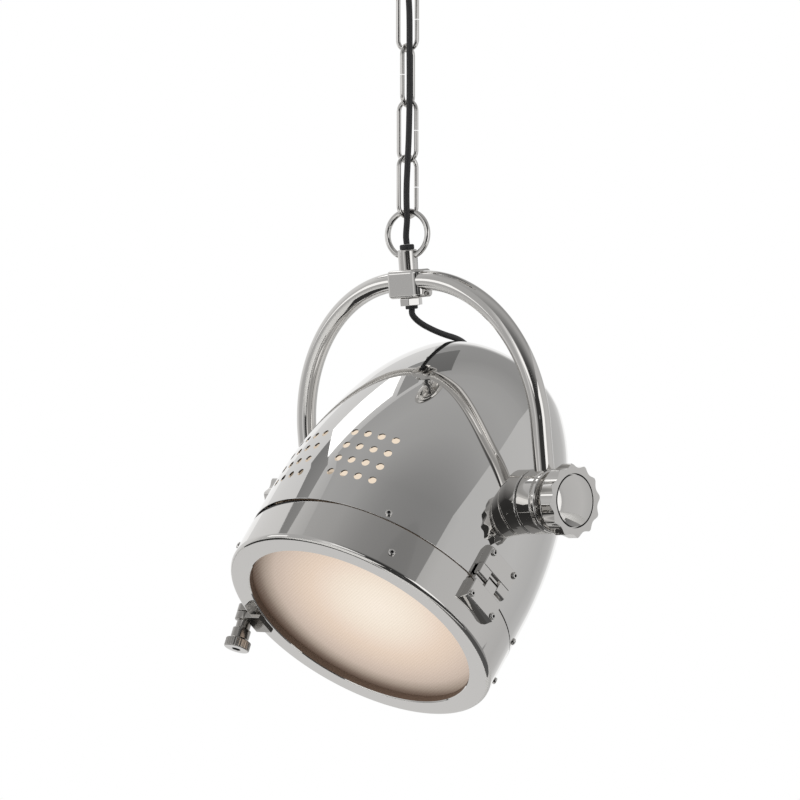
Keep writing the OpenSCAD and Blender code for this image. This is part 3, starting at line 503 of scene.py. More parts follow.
print("finishes:", [m.name for m in bpy.data.materials])

# %% [markdown]
# The front glass is frosted and lit from behind: its glow is painted light, brightest low in the middle and
# falling off as painted shade to brown at its upper left.
# Light through frosted glass would be slow and noisy, so the glow is a ramp round one bright spot.
# Its fine weave is two sets of lines on a flat map of the disc.

# %% Lit glass
WEAVE_LINES = 30
WEAVE_TURN = 0.5
WEAVE_TONE = 0.06
# The ramp's tones, from painted light at the bright spot out to painted shade at the rim.
GLASS_TONES = [
    (0.03, (0.86, 0.76, 0.65)), (0.12, (0.835, 0.735, 0.62)), (0.21, (0.795, 0.68, 0.565)),
    (0.27, (0.76, 0.625, 0.515)), (0.33, (0.72, 0.575, 0.46)), (0.39, (0.67, 0.535, 0.43)),
    (0.45, (0.605, 0.485, 0.40)), (0.51, (0.52, 0.42, 0.35)), (0.56, (0.33, 0.265, 0.215)),
    (0.595, (0.17, 0.125, 0.098)), (0.63, (0.085, 0.055, 0.04)), (0.75, (0.02, 0.012, 0.008)),
]
glass = finish_of("frosted_glass", (0.02, 0.016, 0.013), 0.0, 0.4)
add, calc = nodes_in(glass.node_tree)
flat_map = add("ShaderNodeTexCoord").outputs["UV"]
oval = add("ShaderNodeMapping", {
    "Vector": flat_map, "Location": (0.644, 0.419, 0), "Rotation": (0, 0, 0.958), "Scale": (0.82, 1, 1),
}, vector_type="TEXTURE")
from_spot = add("ShaderNodeVectorMath", {0: oval}, operation="LENGTH")
tone = ramp_in(add, from_spot.outputs["Value"], GLASS_TONES)
lines = []
for turn in (WEAVE_TURN, WEAVE_TURN + math.pi / 2):
    place = add("ShaderNodeMapping", {"Vector": flat_map, "Rotation": (0, 0, turn)})
    wave = add("ShaderNodeTexWave", {"Vector": place, "Scale": WEAVE_LINES})
    lines.append(wave.outputs["Fac"])
weave = calc("ADD", *lines)
level = calc("MULTIPLY_ADD", weave, WEAVE_TONE, 1 - WEAVE_TONE)
shaded = add("ShaderNodeVectorMath", {0: tone, "Scale": level}, operation="SCALE")
dent = add("ShaderNodeBump", {"Strength": 0.3, "Distance": 0.001, "Height": weave})
feed(glass.node_tree.nodes["Principled BSDF"], {
    "Emission Color": shaded, "Emission Strength": 1.0, "Normal": dent,
})
print("glass finish made")

# %% [markdown]
# ## Cable
# The cable leaves a gland in the canopy, runs beside the chain into the stem, and comes out under the collar.
# It is drawn through chosen points, because a hanging simulation wouldn't find the photo's slack loops.
# It is cut into seven lengths, each across one joint.

# %% Cable
CABLE_D = 6.2
BUSH_TOP = STEM_TOP + 5.2
BUSH_FOOT = COLLAR_FOOT - 11
SPOUT_WAY = Vector((math.cos(math.radians(130)), -math.sin(math.radians(130)), 0))
STEPS = 6


def smooth(points, steps):
    """A smooth line through the points, with some steps between each two."""
    points = [Vector(p) for p in points]
    ends = [2 * points[0] - points[1]] + points + [2 * points[-1] - points[-2]]
    line = []
    for i in range(len(points) - 1):
        a, b, c, d = ends[i:i + 4]
        bend = 2 * a - 5 * b + 4 * c - d
        twist = 3 * b - a - 3 * c + d
        for t in (k / steps for k in range(steps)):
            line.append(0.5 * (2 * b + (c - a) * t + bend * t * t + twist * t ** 3))
    return line + [points[-1]]


def in_yoke(z):
    return (YOKE @ Vector((0, 0, z))) / MM


def in_spout(distance):
    """A point of the outlet's spout, in the lamp's frame."""
    return SPOUT_WAY * distance + Vector((0, 0, DOME_END + 6.2))


upper_route = [
    (12, -12, -42.2), (12, -12, -47.2), (11.5, -11, -58), (10.5, -8.5, -74), (9.8, -7.2, -88),
    (9.2, -6.5, -106), (9.2, -6.5, -124), (9, -6.2, -143), (9.2, -6.5, -162), (9, -6.6, -180),
    (8.6, -6.8, -199), (8.2, -7, -212), (7.6, -7.2, -224), (7, -7.4, -237.5), (6.4, -7.6, -249),
    (6, -7.6, -262), (5.6, -7, -275), (4.2, -5, -288), in_yoke(BUSH_TOP + 9), in_yoke(BUSH_TOP),
]
lower_route = [
    in_yoke(BUSH_FOOT), in_yoke(BUSH_FOOT - 5), (0.3, 11.6, -386.2), (0.4, 21, -391), (0.2, 33, -395),
    (0, 45, -398.2), (-0.6, 57, -400.6), (-2.6, 68, -402), (-6, 78.5, -403.4), (-10, 88.5, -405.2),
    (-14, 98, -407.6), (-17, 107.5, -410.4), (-18.4, 116.5, -413.8),
    (LAMP @ in_spout(23)) / MM, (LAMP @ in_spout(16.2)) / MM,
]
cuts = [0, 4, 7, 10, 13, 16, 19]
upper_line = smooth(upper_route, STEPS)
lengths = [upper_line[a * STEPS:b * STEPS + 1] for a, b in zip(cuts, cuts[1:])]
lengths.append(smooth(lower_route, STEPS))
for i, line in enumerate(lengths, 1):
    obj = dress(put(f"cable_length_{i}", tube(line, CABLE_D / 2)), None, rubber, f"cable_{i}")
    path = [p * MM for p in line]
    size = sum((b - a).length for a, b in zip(path, path[1:]))
    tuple(path[0])
    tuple(path[-1])
    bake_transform(obj)
    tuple(path[0])
    print(obj.name, "length", round(size, 4), "m")

# %% [markdown]
# ## Geometry trees
# Geometry Nodes make what repeats or follows a path: wires, vents, flutes and screw heads.
# Every tree ends in Realize Instances and Set Material, because the export drops instances.

# %% Geometry tree helpers
def new_tree(name, **inputs):
    """A geometry tree with named inputs, and the tools to fill and to end it."""
    tree = bpy.data.node_groups.new(name, "GeometryNodeTree")
    for socket, kind in {"Geometry": "Geometry", **inputs}.items():
        tree.interface.new_socket(socket, in_out="INPUT", socket_type="NodeSocket" + kind)
    tree.interface.new_socket("Geometry", in_out="OUTPUT", socket_type="NodeSocketGeometry")
    add, calc = nodes_in(tree)
    given = add("NodeGroupInput").outputs

    def close(geometry):
        real = add("GeometryNodeRealizeInstances", {"Geometry": geometry})
        last = add("GeometryNodeSetMaterial", {"Geometry": real, "Material": given["Finish"]})
        add("NodeGroupOutput", {"Geometry": last})
        print("tree", name, "has", len(tree.nodes), "nodes")

    return tree, given, add, calc, close


def set_on_points(add, points, instance):
    """Adds instances on points that face along the attribute named facing."""
    facing = add("GeometryNodeInputNamedAttribute", {"Name": "facing"}, data_type="FLOAT_VECTOR")
    upright = add("FunctionNodeAlignRotationToVector", {"Vector": facing}, axis="Z")
    return add("GeometryNodeInstanceOnPoints", {"Points": points, "Instance": instance, "Rotation": upright})


def grown(obj, tree, **values):
    """Runs a tree on an object with these inputs, and gives back a plain mesh object."""
    modifier = obj.modifiers.new(tree.name, "NODES")
    modifier.node_group = tree
    for item in tree.interface.items_tree:
        if item.in_out == "INPUT" and item.name in values:
            modifier[item.identifier] = values[item.name]
    return applied(obj)


print("tree helpers ready")

# %% [markdown]
# Links, ring, eye and yoke are bent from round stock, so one tree gives any path its round wire.

# %% Wire tree
wire_tree, given, add, calc, close = new_tree("round_wire", Diameter="Float", Sides="Int", Finish="Material")
half = calc("MULTIPLY", given["Diameter"], 0.5)
profile = add("GeometryNodeCurvePrimitiveCircle", {"Resolution": given["Sides"], "Radius": half})
body = add("GeometryNodeCurveToMesh", {
    "Curve": given["Geometry"], "Profile Curve": profile, "Fill Caps": True,
})
close(add("GeometryNodeSetShadeSmooth", {"Geometry": body}))


def wire(name, path, diameter, sides, place=ROOM, closed=False):
    """A path in millimetres, given its wire."""
    curve = bpy.data.curves.new(name, "CURVE")
    curve.dimensions = "3D"
    spline = curve.splines.new("POLY")
    spline.points.add(len(path) - 1)
    for point, p in zip(spline.points, path):
        point.co = (*(place @ Vector(p)), 1)
    spline.use_cyclic_u = closed
    return grown(linked(name, curve), wire_tree, Diameter=diameter * MM, Sides=sides, Finish=nickel)


def bow(cx, cz, radius, first, last, steps):
    """Points of an upright arc."""
    return [(x, 0, z) for x, z, _, _ in arc(cx, cz, radius, first, last, steps)]


# %% [markdown]
# ## Chain and bail
# Four open links hang in the hook's eye, each turned about the chain by its own angle.
# A small gap halfway down one side is where a real link is bent shut.
# The bail is a ring whose two ends turn inwards as pegs into the stem.

# %% Chain links
WIRE = 4.6
BEND = (26 - WIRE) / 2
SPAN = 65.2 - WIRE
PITCH = SPAN - WIRE - 0.3
FIRST_LINK = -62 + (5 + WIRE) / 2 + 0.3
HALF_GAP = 0.4
LINK_TURNS = (15, 285, 8, 80)
path = [(BEND, 0, -SPAN / 2 + HALF_GAP)] + bow(0, -BEND, BEND, 0, 180, 24)
path += bow(0, BEND - SPAN, BEND, 180, 360, 24) + [(BEND, 0, -SPAN / 2 - HALF_GAP)]
for i, turn in enumerate(LINK_TURNS):
    place = ROOM @ shift(0, 0, FIRST_LINK - i * PITCH) @ spin(turn, "Z")
    dress(wire(f"chain_link_{i + 1}", path, WIRE, 28, place), f"link_{i + 1}", nickel, f"link_{i + 1}")
print("links made:", len(LINK_TURNS))

# %% Bail
BAIL_R = 23
PEG_X = 19.5 / 2 + 1.2
half_angle = math.degrees(math.asin(PEG_X / BAIL_R))
peg_drop = BAIL_R * math.cos(math.radians(half_angle))
path = [(6.7, 0, -peg_drop), (8.4, 0, -peg_drop)]
path += bow(0, 0, BAIL_R, -90 + half_angle, 270 - half_angle, 72)
path += [(-8.4, 0, -peg_drop), (-6.7, 0, -peg_drop)]
place = ROOM @ shift(0, 0, PEG_Z + peg_drop) @ spin(14, "Z")
dress(wire("bail_ring", path, 6, 32, place), "bail", nickel, "bail")
print("bail made, pegs", round(peg_drop, 2), "mm under its middle")

# %% [markdown]
# ## Ceiling end
# The canopy is a shallow spun cup, drawn as two ovals, one inside the other.
# A hook is screwed through it into the crossbar, and a gland holds the cable.

# %% Canopy and hook
def cup_wall(wide, tall, sign):
    """A quarter of an oval from the canopy's middle to its edge."""
    quarter = arc(28, -5, 1, -90, 0, 16)
    return [(28 + wide * nr, -5 + tall * nz, sign * nr, sign * nz) for _, _, nr, nz in quarter]


cup = [(5.1, -34, 0, -1)] + cup_wall(32, 29, 1)
cup += rounded([(60, -5), (60, 0), (58.5, 0), (58.5, -5)])
cup += cup_wall(30.5, 27.5, -1)[::-1] + [(5.1, -32.5, 0, 1)]
turned("canopy_cup", cup, ROOM, "ceiling", nickel, "canopy", sides=128, closed=True)
place = ROOM @ shift(0, 0, -53) @ spin(100, "Z")
dress(wire("hook_eye", bow(0, 0, 9, 0, 352.5, 47), 5, 28, place, True), "ceiling", nickel)
shank = rounded([(0, -44), (8.5, -44, 2), (8.5, -34, 0.6), (5, -34), (5, -1), (0, -1)], 0.4)
turned("hook_shank", shank, ROOM, "ceiling", nickel, "hook")
gland = rounded([(0, -42), (4.1, -42, 1), (5.6, -34), (4, -34), (4, -31), (0, -31)], 0.4)
turned("cable_gland", gland, ROOM @ shift(12, -12, 0), "ceiling", plastic, "canopy_gland", sides=48)
dress(softened("crossbar", 0.6), "ceiling", steel, "crossbar")
dress(softened("hook_nut", 0.5), "ceiling", steel, "hook_nut")
print("ceiling end made")

# %% [markdown]
# ## Yoke
# Two bent tubes meet in a collar under the stem, and each ends in a round boss on the pivot axis.
# A tube is a quarter of a circle and a straight leg, so the wire tree serves here too.

# %% Yoke tubes
TUBE_D = 20
ARCH_X = 14.3
ARCH_R = YOKE_HALF - ARCH_X
for side, name in SIDES:
    path = [(11.0, 0, ARCH_Z)] + bow(ARCH_X, ARCH_Z - ARCH_R, ARCH_R, 90, 0, 120)
    path += [(YOKE_HALF, 0, z) for z in (70, 60, 50, 40, 30, 20.2)]
    path = [(side * x, y, z) for x, y, z in path]
    dress(wire(f"yoke_tube_{name}", path, TUBE_D, 64, YOKE), "yoke", nickel, f"yoke_arm_{name}")
print("yoke tubes made, arch radius", ARCH_R, "mm")

# %% [markdown]
# The collar is a cast block with two wide round corners, so it is a pillar on a drawn plan.
# Rubber grommets guard the cable, and the turned bosses have a groove that shows as a dark line.

# %% Stem, collar and bosses
top = STEM_TOP
foot = BUSH_FOOT
bush = rounded([
    (0, top - 4), (6.1, top - 4), (6.1, top), (7.25, top, 0.8), (7.25, top + 5, 1.6), (0, top + 5),
], 0.3)
turned("stem_grommet", bush, YOKE, "yoke", rubber, "stem_bush", sides=48)
grommet = rounded([
    (0, foot), (6.2, foot, 1), (6.2, foot + 3.5, 0.6), (3.9, foot + 3.5), (3.9, foot + 9), (0, foot + 9),
], 0.3)
turned("collar_grommet", grommet, YOKE, "yoke", rubber, "collar_bush", sides=48)
dress(softened("stem", 0.8, 3), "yoke", nickel, "stem")
plan = arc(12, -1.5, 10, -90, 0, 12) + arc(17, 6.5, 5, 0, 90, 6)
plan += [(-x, -y, -nx, -ny) for x, y, nx, ny in plan]
block = pillar(plan, COLLAR_FOOT, ARCH_Z + 11.5, 4)
dress(put("collar_block", block, YOKE), "yoke", nickel, "collar")
dress(softened("collar_nut", 0.7), "yoke", nickel, "collar_nut")
end_screw = rounded([(0, 0), (2.8, 0, 0.2), (2.8, 3, 0.8), (1.4, 3, 0.2), (1.4, 1.6, 0.1), (0, 1.6)])
ends = [moved(lathe(end_screw, 32), along_x(shift(0, 0, ARCH_Z - 13.5), 21.1, side)) for side, _ in SIDES]
dress(put("collar_screws", joined(*ends), YOKE), "yoke", steel, "set_screws")
SADDLE = SHADE_R + 6.6
BOSS_X = SADDLE + 1.4
boss = rounded([
    (0, 0), (32, 0, 1.5), (32, 18.2, 0.8), (30.6, 18.8), (30.6, 20.2), (31.7, 20.8, 0.6), (31.7, 25, 2.5),
    (0, 25),
])
for side, name in SIDES:
    place = along_x(YOKE, BOSS_X, side)
    turned(f"yoke_hub_{name}", boss, place, "yoke", nickel, f"yoke_boss_{name}", sides=128)
print("yoke made")

# %% [markdown]
# ## Shade
# The shade is one spun sheet: a straight rim, then four arcs that run smoothly into each other.
# Each arc goes on with the slope of the last one, so the mirrored room has no kinks.

# %% Shade outline
SEAM = -108.5
RIM_TOP = -70
WALL = 1.6
NOSE_R = 80
NOSE_END = 70


def next_arc(before, radius, end):
    """An arc that goes on with the same slope: its middle, radius, first and last angle."""
    cx, cz, old, _, turn = before
    c, s = math.cos(math.radians(turn)), math.sin(math.radians(turn))
    return cx + (old - radius) * c, cz + (old - radius) * s, radius, turn, end


def dome(inset, sign):
    points = []
    for cx, cz, radius, first, last in SHADE_ARCS:
        points += arc(cx, cz, radius - inset, first, last, 24, sign)[1 if points else 0:]
    points[-1] = (0, points[-1][1], 0, sign)
    return points


flank = (SHADE_R - 470, RIM_TOP, 470, 0, 17.3)
shoulder = next_arc(flank, 230, 36)
nose = next_arc(shoulder, NOSE_R, NOSE_END)
crown = next_arc(nose, NOSE_R + nose[0] / math.cos(math.radians(NOSE_END)), 90)
SHADE_ARCS = (flank, shoulder, nose, crown)
inner = SHADE_R - WALL
lip = rounded([(inner, RIM_TOP), (inner, SEAM), (SHADE_R, SEAM), (SHADE_R, RIM_TOP)], 0.4)[1:-1]
shade_outline = dome(WALL, -1)[::-1] + lip + dome(0, 1)
shade_blank = put("shade_shell", lathe(shade_outline, 240), UNMOVED)
print("shade outline points:", len(shade_outline))

# %% [markdown]
# Two square groups of vent holes are punched in the flank, one on each side of the top line.
# The tree bends a flat grid round the shade, sets a drill on each point and cuts with them.

# %% Vent tree
vent_tree, given, add, calc, close = new_tree(
    "vent_holes", Rows="Int", Step="Float", Angle="Float", Hole="Float", Radius="Float", Middle="Float",
    Turn="Float", Finish="Material",
)
gaps = calc("SUBTRACT", given["Rows"], 1.0)
grid = add("GeometryNodeMeshGrid", {
    "Size X": calc("MULTIPLY", gaps, given["Angle"]), "Size Y": calc("MULTIPLY", gaps, given["Step"]),
    "Vertices X": given["Rows"], "Vertices Y": given["Rows"],
})
groups = []
for sign in (1.0, -1.0):
    centre = add("ShaderNodeCombineXYZ", {"X": calc("MULTIPLY_ADD", given["Turn"], sign, -90.0)})
    groups.append(add("GeometryNodeTransform", {"Geometry": grid, "Translation": centre}))
both = add("GeometryNodeJoinGeometry", {"Geometry": groups})
flat = add("ShaderNodeSeparateXYZ", {"Vector": add("GeometryNodeInputPosition")}).outputs
angle = calc("RADIANS", flat["X"])
away = add("ShaderNodeCombineXYZ", {"X": calc("COSINE", angle), "Y": calc("SINE", angle)})
out = add("ShaderNodeVectorMath", {0: away, "Scale": given["Radius"]}, operation="SCALE")
height = calc("MULTIPLY", calc("ADD", flat["Y"], given["Middle"]), -1.0)
down = add("ShaderNodeCombineXYZ", {"Z": height})
spot = add("ShaderNodeVectorMath", {0: out, 1: down}, operation="ADD")
facing = add("GeometryNodeStoreNamedAttribute", {
    "Geometry": both, "Name": "facing", "Value": away,
}, data_type="FLOAT_VECTOR", domain="POINT")
points = add("GeometryNodeSetPosition", {"Geometry": facing, "Position": spot})
drill = add("GeometryNodeMeshCylinder", {
    "Vertices": 32, "Radius": calc("MULTIPLY", given["Hole"], 0.5), "Depth": 30.0,
})
drills = add("GeometryNodeRealizeInstances", {"Geometry": set_on_points(add, points, drill)})
pair = {"Mesh 1": given["Geometry"], "Mesh 2": drills}
close(add("GeometryNodeMeshBoolean", pair, operation="DIFFERENCE", solver="EXACT"))
shell = grown(
    shade_blank, vent_tree, Rows=4, Step=17.2, Angle=6.5, Hole=8.0, Radius=SHADE_R, Middle=48.0, Turn=18.2,
    Finish=aluminium,
)
print("shade faces after the vents:", len(shell.data.polygons))

# %% [markdown]
# Cutting breaks the smooth normals, which would show as dents in the mirror finish.
# So each face takes its normals from the arcs again, and the lining behind the vents is lit.

# %% Shade normals and lining
LINING_FROM = -20
LINING_SIDE = -92
SAME_ARC = 0.3


def dome_normal(p):
    """The outward direction of the shade's arcs at a point."""
    r = math.hypot(p.x, p.y)
    if r < 1e-4:
        return Vector((0, 0, 1))
    slope = 0.0
    for cx, cz, _, first, last in SHADE_ARCS:
        here = math.degrees(math.atan2(p.z - cz, r - cx))
        if p.z > cz and first - SAME_ARC <= here <= last + SAME_ARC:
            slope = math.radians(min(max(here, first), last))
            break
    return Vector((p.x / r * math.cos(slope), p.y / r * math.cos(slope), math.sin(slope)))


mesh = shell.data
loop_normals = [None] * len(mesh.loops)
lining = []
for face in mesh.polygons:
    facing = dome_normal(face.center).dot(face.normal)
    sheet = abs(facing) > 0.5 and face.center.z >= SEAM + 0.5
    aside = (LAMP_TURN @ face.center).dot(right)
    lining.append(facing < -0.5 and face.center.z > LINING_FROM and aside > LINING_SIDE)
    for loop in face.loop_indices:
        corner = mesh.vertices[mesh.loops[loop].vertex_index].co
        loop_normals[loop] = math.copysign(1, facing) * dome_normal(corner) if sheet else face.normal.copy()
all_smooth(mesh)
mesh.normals_split_custom_set(loop_normals)
mesh.transform(LAMP)
dress(shell, "shade", aluminium, "shade")
mesh.materials.append(lit_inside)
mesh.polygons.foreach_set("material_index", [int(inside) for inside in lining])
print("lining faces:", sum(lining))

# %% [markdown]
# ## Bezel and glass
# The bezel is a turned ring with a rounded front edge, and the glass lies on a gasket behind its face.
# Its rear edge is cut back on the latch side, where the photo shows a dark gap in the seam.
# Faces in narrow gaps are painted dark as painted shade, because a mirror there would shine too much.

# %% Bezel and glass
REAR_EDGE = -109.5
OPENING_R = 120
PANE_R = 133
GAP_DEEP = 6.0
GAP_SLOPE = 9.0
GAP_FROM = 0.375


def paint_shade(obj, to_local, inside, material=rubber):
    """Paints the faces of a region with another material; every use here paints shade."""
    if material.name not in obj.data.materials:
        obj.data.materials.append(material)
    index = obj.data.materials.find(material.name)
    for face in obj.data.polygons:
        spot = to_local @ face.center
        if inside(spot.xy.length, spot.z):
            face.material_index = index


ring = rounded([
    (SHADE_R, -157, 4.5), (SHADE_R, REAR_EDGE), (140, REAR_EDGE), (140, -151.5), (138.5, -153), (126, -153),
    (126, -149), (OPENING_R, -149), (OPENING_R, -156), (121, -157),
], 0.5, True, 8)
points, faces, normals = lathe(ring, 240, True)
for i, (x, y, z) in enumerate(points):
    r = math.hypot(x, y)
    if z > REAR_EDGE - 1 and r > SHADE_R - 1.2:
        points[i] = (x, y, z - min(GAP_DEEP, GAP_SLOPE * max(0, GAP_FROM - x / r)))
front = dress(put("bezel_ring", (points, faces, normals), LAMP), "bezel", nickel, "bezel")
# Painted shade: the opening's inner wall is dark brown, and the rear edge in the seam's gap is black.
paint_shade(front, TO_LAMP, lambda r, z: r < OPENING_R + 0.1, opening_wall)
paint_shade(front, TO_LAMP, lambda r, z: 140.2 < r < SHADE_R - 0.2 and z > REAR_EDGE - GAP_DEEP - 1)
disc = rounded([(0, -148), (PANE_R, -148, 0.6), (PANE_R, -144, 0.6), (0, -144)])
pane = turned("glass_pane", disc, LAMP, "bezel", glass, "front_glass", sides=160)
flat_map = pane.data.uv_layers.new(name="flat")
for loop in pane.data.loops:
    local = TO_LAMP @ pane.data.vertices[loop.vertex_index].co
    on_front = local.z < -147.9
    flat_map.data[loop.index].uv = local.xy / (2 * PANE_R) + Vector((0.5, 0.5)) if on_front else (3, 3)
print("bezel and glass made, faces:", len(faces))

# %% [markdown]
# ## Pivots and knobs
# The clamp knobs have rounded flutes for the fingers, and the thumbscrew has a fine knurl.
# Both follow one rule, so one tree serves them: a wave round the axis pushes a turned rim inwards.

# %% Flute tree
flute_tree, given, add, calc, close = new_tree(
    "flutes", Count="Int", Depth="Float", Crest="Float", Power="Float", Finish="Material"
)
part = add("ShaderNodeSeparateXYZ", {"Vector": add("GeometryNodeInputPosition")}).outputs
level = add("ShaderNodeCombineXYZ", {"X": part["X"], "Y": part["Y"]})
radius = add("ShaderNodeVectorMath", {0: level}, operation="LENGTH").outputs["Value"]
around = calc("ARCTAN2", part["Y"], part["X"])
wave = calc("COSINE", calc("MULTIPLY", around, given["Count"]))
trough = calc("POWER", calc("MULTIPLY_ADD", wave, 0.5, 0.5), given["Power"])
edge = calc("SUBTRACT", given["Crest"], calc("MULTIPLY", trough, given["Depth"]))
dip = calc("MAXIMUM", calc("SUBTRACT", radius, edge), 0.0)
outward = add("ShaderNodeVectorMath", {0: level}, operation="NORMALIZE")
inward = add("ShaderNodeVectorMath", {0: outward, "Scale": calc("MULTIPLY", dip, -1.0)}, operation="SCALE")
close(add("GeometryNodeSetPosition", {"Geometry": given["Geometry"], "Offset": inward}))


def fluted(name, outline, sides, place, **values):
    """A turned blank with flutes."""
    blank = put(name, lathe(outline, sides), UNMOVED)
    blank.data.attributes.remove(blank.data.attributes["custom_normal"])
    made = grown(blank, flute_tree, Finish=nickel, **values)
    made.data.transform(place)
    all_smooth(made.data)
    made.data.set_sharp_from_angle(angle=math.radians(50))
    return made


# %% [markdown]
# A saddle boss stands on each flank, with a friction washer and the yoke's boss outside it.
# The knob has a waist behind its flutes and a domed cap in its face, with a groove round it that is painted
# black as painted shade.

# %% Saddles, knobs and caps
FLUTES = 12
KNOB_R = 36.5
KNOB_X = BOSS_X + 25.2
CAP_X = KNOB_X + 22
CAP_R = 25.2
CAP_RISE = 5.4
saddle = rounded([(0, 124), (32, 124), (32, SADDLE, 1.2), (0, SADDLE)], 0.4)
washer = rounded([(6.1, 0), (31, 0), (31, 1), (6.1, 1)], 0.15, True, 2)
knob = rounded([
    (0, 0), (27, 0, 0.6), (27, 4, 0.4), (29.5, 4, 0.6),
    *[(29.5 + 0.7 * k, 4 + 0.9 * k) for k in range(1, 10)], (KNOB_R, 13, 1.5), (KNOB_R, 24.4),
    (35.9, 25), (26.6, 25, 0.4), (26.6, 22, 0.3), (0, 22),
], 0.5, False, 6)
ball = (CAP_R ** 2 + CAP_RISE ** 2) / (2 * CAP_RISE)
slope = math.degrees(math.asin(CAP_R / ball))
cap = rounded([(0, 0), (CAP_R, 0), (CAP_R, 3)], 0.3) + arc(0, 3 + CAP_RISE - ball, ball, 90 - slope, 90, 20)
cap[-1] = (0, cap[-1][1], 0, 1)
saddles, washers = [], []
for side, name in SIDES:
    body = f"knob_{name}"
    turn = along_x(UNMOVED, 0, side)
    saddles.append(moved(lathe(saddle, 128), turn))
    washers.append(moved(lathe(washer, 96, True), turn @ shift(0, 0, SADDLE + 0.2)))
    place = along_x(LAMP, KNOB_X, side)
    waves = {"Count": FLUTES, "Depth": 4.0, "Crest": KNOB_R, "Power": 0.6}
    grip = dress(fluted(f"clamp_knob_{name}", knob, 24 * FLUTES, place, **waves), body, nickel, body)
    # The groove round the cap and the cap's rim are painted black as painted shade.
    paint_shade(grip, place.inverted(), lambda r, z: 24.9 < r < 26.9 and 21 < z < 24.9)
    place = along_x(LAMP, CAP_X, side)
    lens = turned(f"knob_lens_{name}", cap, place, body, nickel, f"knob_cap_{name}")
    paint_shade(lens, place.inverted(), lambda r, z: r > CAP_R - 0.25)
dress(put("saddle_pair", joined(*saddles), LAMP), "shade", nickel, "saddle_bosses")
dress(put("washer_pair", joined(*washers), LAMP), "shade", rubber, "friction_washers")
print("pivots made")

# %% [markdown]
# ## Hinge and latch
# The hinge plates have slanted ends, low ledges and round knuckles. They are outlines drawn out along
# the hinge, with crisper edges than the CAD mesh gives. The latch's lug and bracket keep the CAD shape.
# The thumbscrew is turned, with a knurled flange, and leans out of its slot as in the photo.

# %% Hinge
HINGE_X = SHADE_R + 0.5 + 4.2
HINGE_Z = -103.5
HALF_LEAF = 22
EAR = 14.5 / 2
KNUCKLE_R = 3.7


def leaf(name, body, way, ears):
    """One leaf of the hinge; way is up for the shade and down for the bezel."""
    foot, top = 140.6, HINGE_X + 4.2
    near, far, step, ledge_end = (HINGE_Z + way * d for d in (8.5, 32.5, 4.9, 11))
    plate = [(foot, near), (top, near), (top, far - way * 3.2), (143.6, far), (foot, far)]
    ledge = [(HINGE_X + x, z) for x, z in ((-3.2, step), (1.4, step), (1.4, ledge_end), (-3.2, ledge_end))]
    knuckle = [(x, z) for x, z, _, _ in arc(HINGE_X, HINGE_Z, KNUCKLE_R, 0, -180 * way, 20)]
    knuckle += [(HINGE_X - KNUCKLE_R, ledge_end), (HINGE_X + KNUCKLE_R, ledge_end)]
    plates = bars(name, [(plate, -HALF_LEAF, HALF_LEAF)], 1.0, LAMP)
    low = bars(name + "_ears", [(ledge, -21.8, 21.8)] + [(knuckle, a, b) for a, b in ears], 0.4, LAMP, 3)
    dress(plates, body, nickel, name)
    dress(low, body, nickel)


leaf("hinge_leaf_shade", "shade", 1, [(EAR + 0.4, HALF_LEAF), (-HALF_LEAF, -EAR - 0.4)])
leaf("hinge_leaf_bezel", "bezel", -1, [(-EAR, EAR)])
print("hinge made")

# %% Latch
LATCH_TURN = 177
SCREW_LEAN = -16
FLANGE_R = 13.0
lug, bracket = (softened(node, 0.8, 3, SHADE_R + 0.3) for node in ("latch_lug", "latch_bracket"))
dress(lug, "shade", nickel, "latch_lug")
dress(bracket, "bezel", nickel, "latch_bracket")
# The bracket and the thumbscrew's body take the darker nickel as painted shade.
paint_shade(bracket, TO_LAMP, lambda r, z: True, worn_nickel)
on_latch = LAMP @ spin(-LATCH_TURN, "Z") @ shift(SHADE_R + 18, 0, -141.5) @ spin(SCREW_LEAN, "X")
thumb = rounded([
    (0, -32.2), (4.3, -32.2), (4.3, -42.2, 0.5), (FLANGE_R, -42.2, 1.4), (FLANGE_R, -33.2, 0.8),
    (9.4, -31.2, 0.8), (9.4, -21.2, 0.6), (7.4, -20.2, 0.5), (7.4, -13.2, 0.5), (10.4, -12.2, 0.8),
    (10.4, -4.2, 0.8), (3, -4.2, 0.2), (3, 47.8, 0.6), (0, 47.8),
], 0.4)
screw = fluted("thumb_screw", thumb, 120, on_latch, Count=30, Depth=0.5, Crest=FLANGE_R, Power=1.0)
dress(screw, "thumbscrew", nickel, "thumbscrew")
paint_shade(screw, on_latch.inverted(), lambda r, z: z > -42, worn_nickel)
# The thumbscrew's end hole is painted black as painted shade.
paint_shade(screw, on_latch.inverted(), lambda r, z: r < 4.4 and z < -32)
print("latch made")

# %% [markdown]
# ## Cable outlet
# A small black pot on the nose guides the cable into the shade through a short spout at its side.

# %% Cable outlet
pot = lathe(rounded([(0, -1.4), (13, -1.4), (13, 14, 3), (0, 14)], 0.4), 64)
spout = tube([in_spout(d) for d in (2, 8, 14, 16)], 4.6, 32)
outlet = joined(moved(pot, shift(0, 0, DOME_END)), spout)
dress(put("outlet_pot", outlet, LAMP), "shade", plastic, "cable_outlet")
print("outlet made")

# %% [markdown]
# ## Small screws
# Twelve screws hold the rim, the bezel and the hinge. One domed head with a socket is drawn once,
# and a tree sets it on points that carry the direction they face.

# %% Screw tree
screw_tree, given, add, calc, close = new_tree("screw_heads", Head="Object", Finish="Material")
source = add("GeometryNodeObjectInfo", {"Object": given["Head"], "As Instance": True})
close(set_on_points(add, given["Geometry"], source.outputs["Geometry"]))
head = put("screw_head", lathe(rounded([
    (0, -2), (2, -2), (2, 0, 0.1), (3.5, 0, 0.1), (3.5, 1.3, 0.7), (2.6, 2.2, 0.8), (1.5, 2.4, 0.1),
    (1.3, 1.0, 0.1), (0, 1.0),
], 0.2), 32))


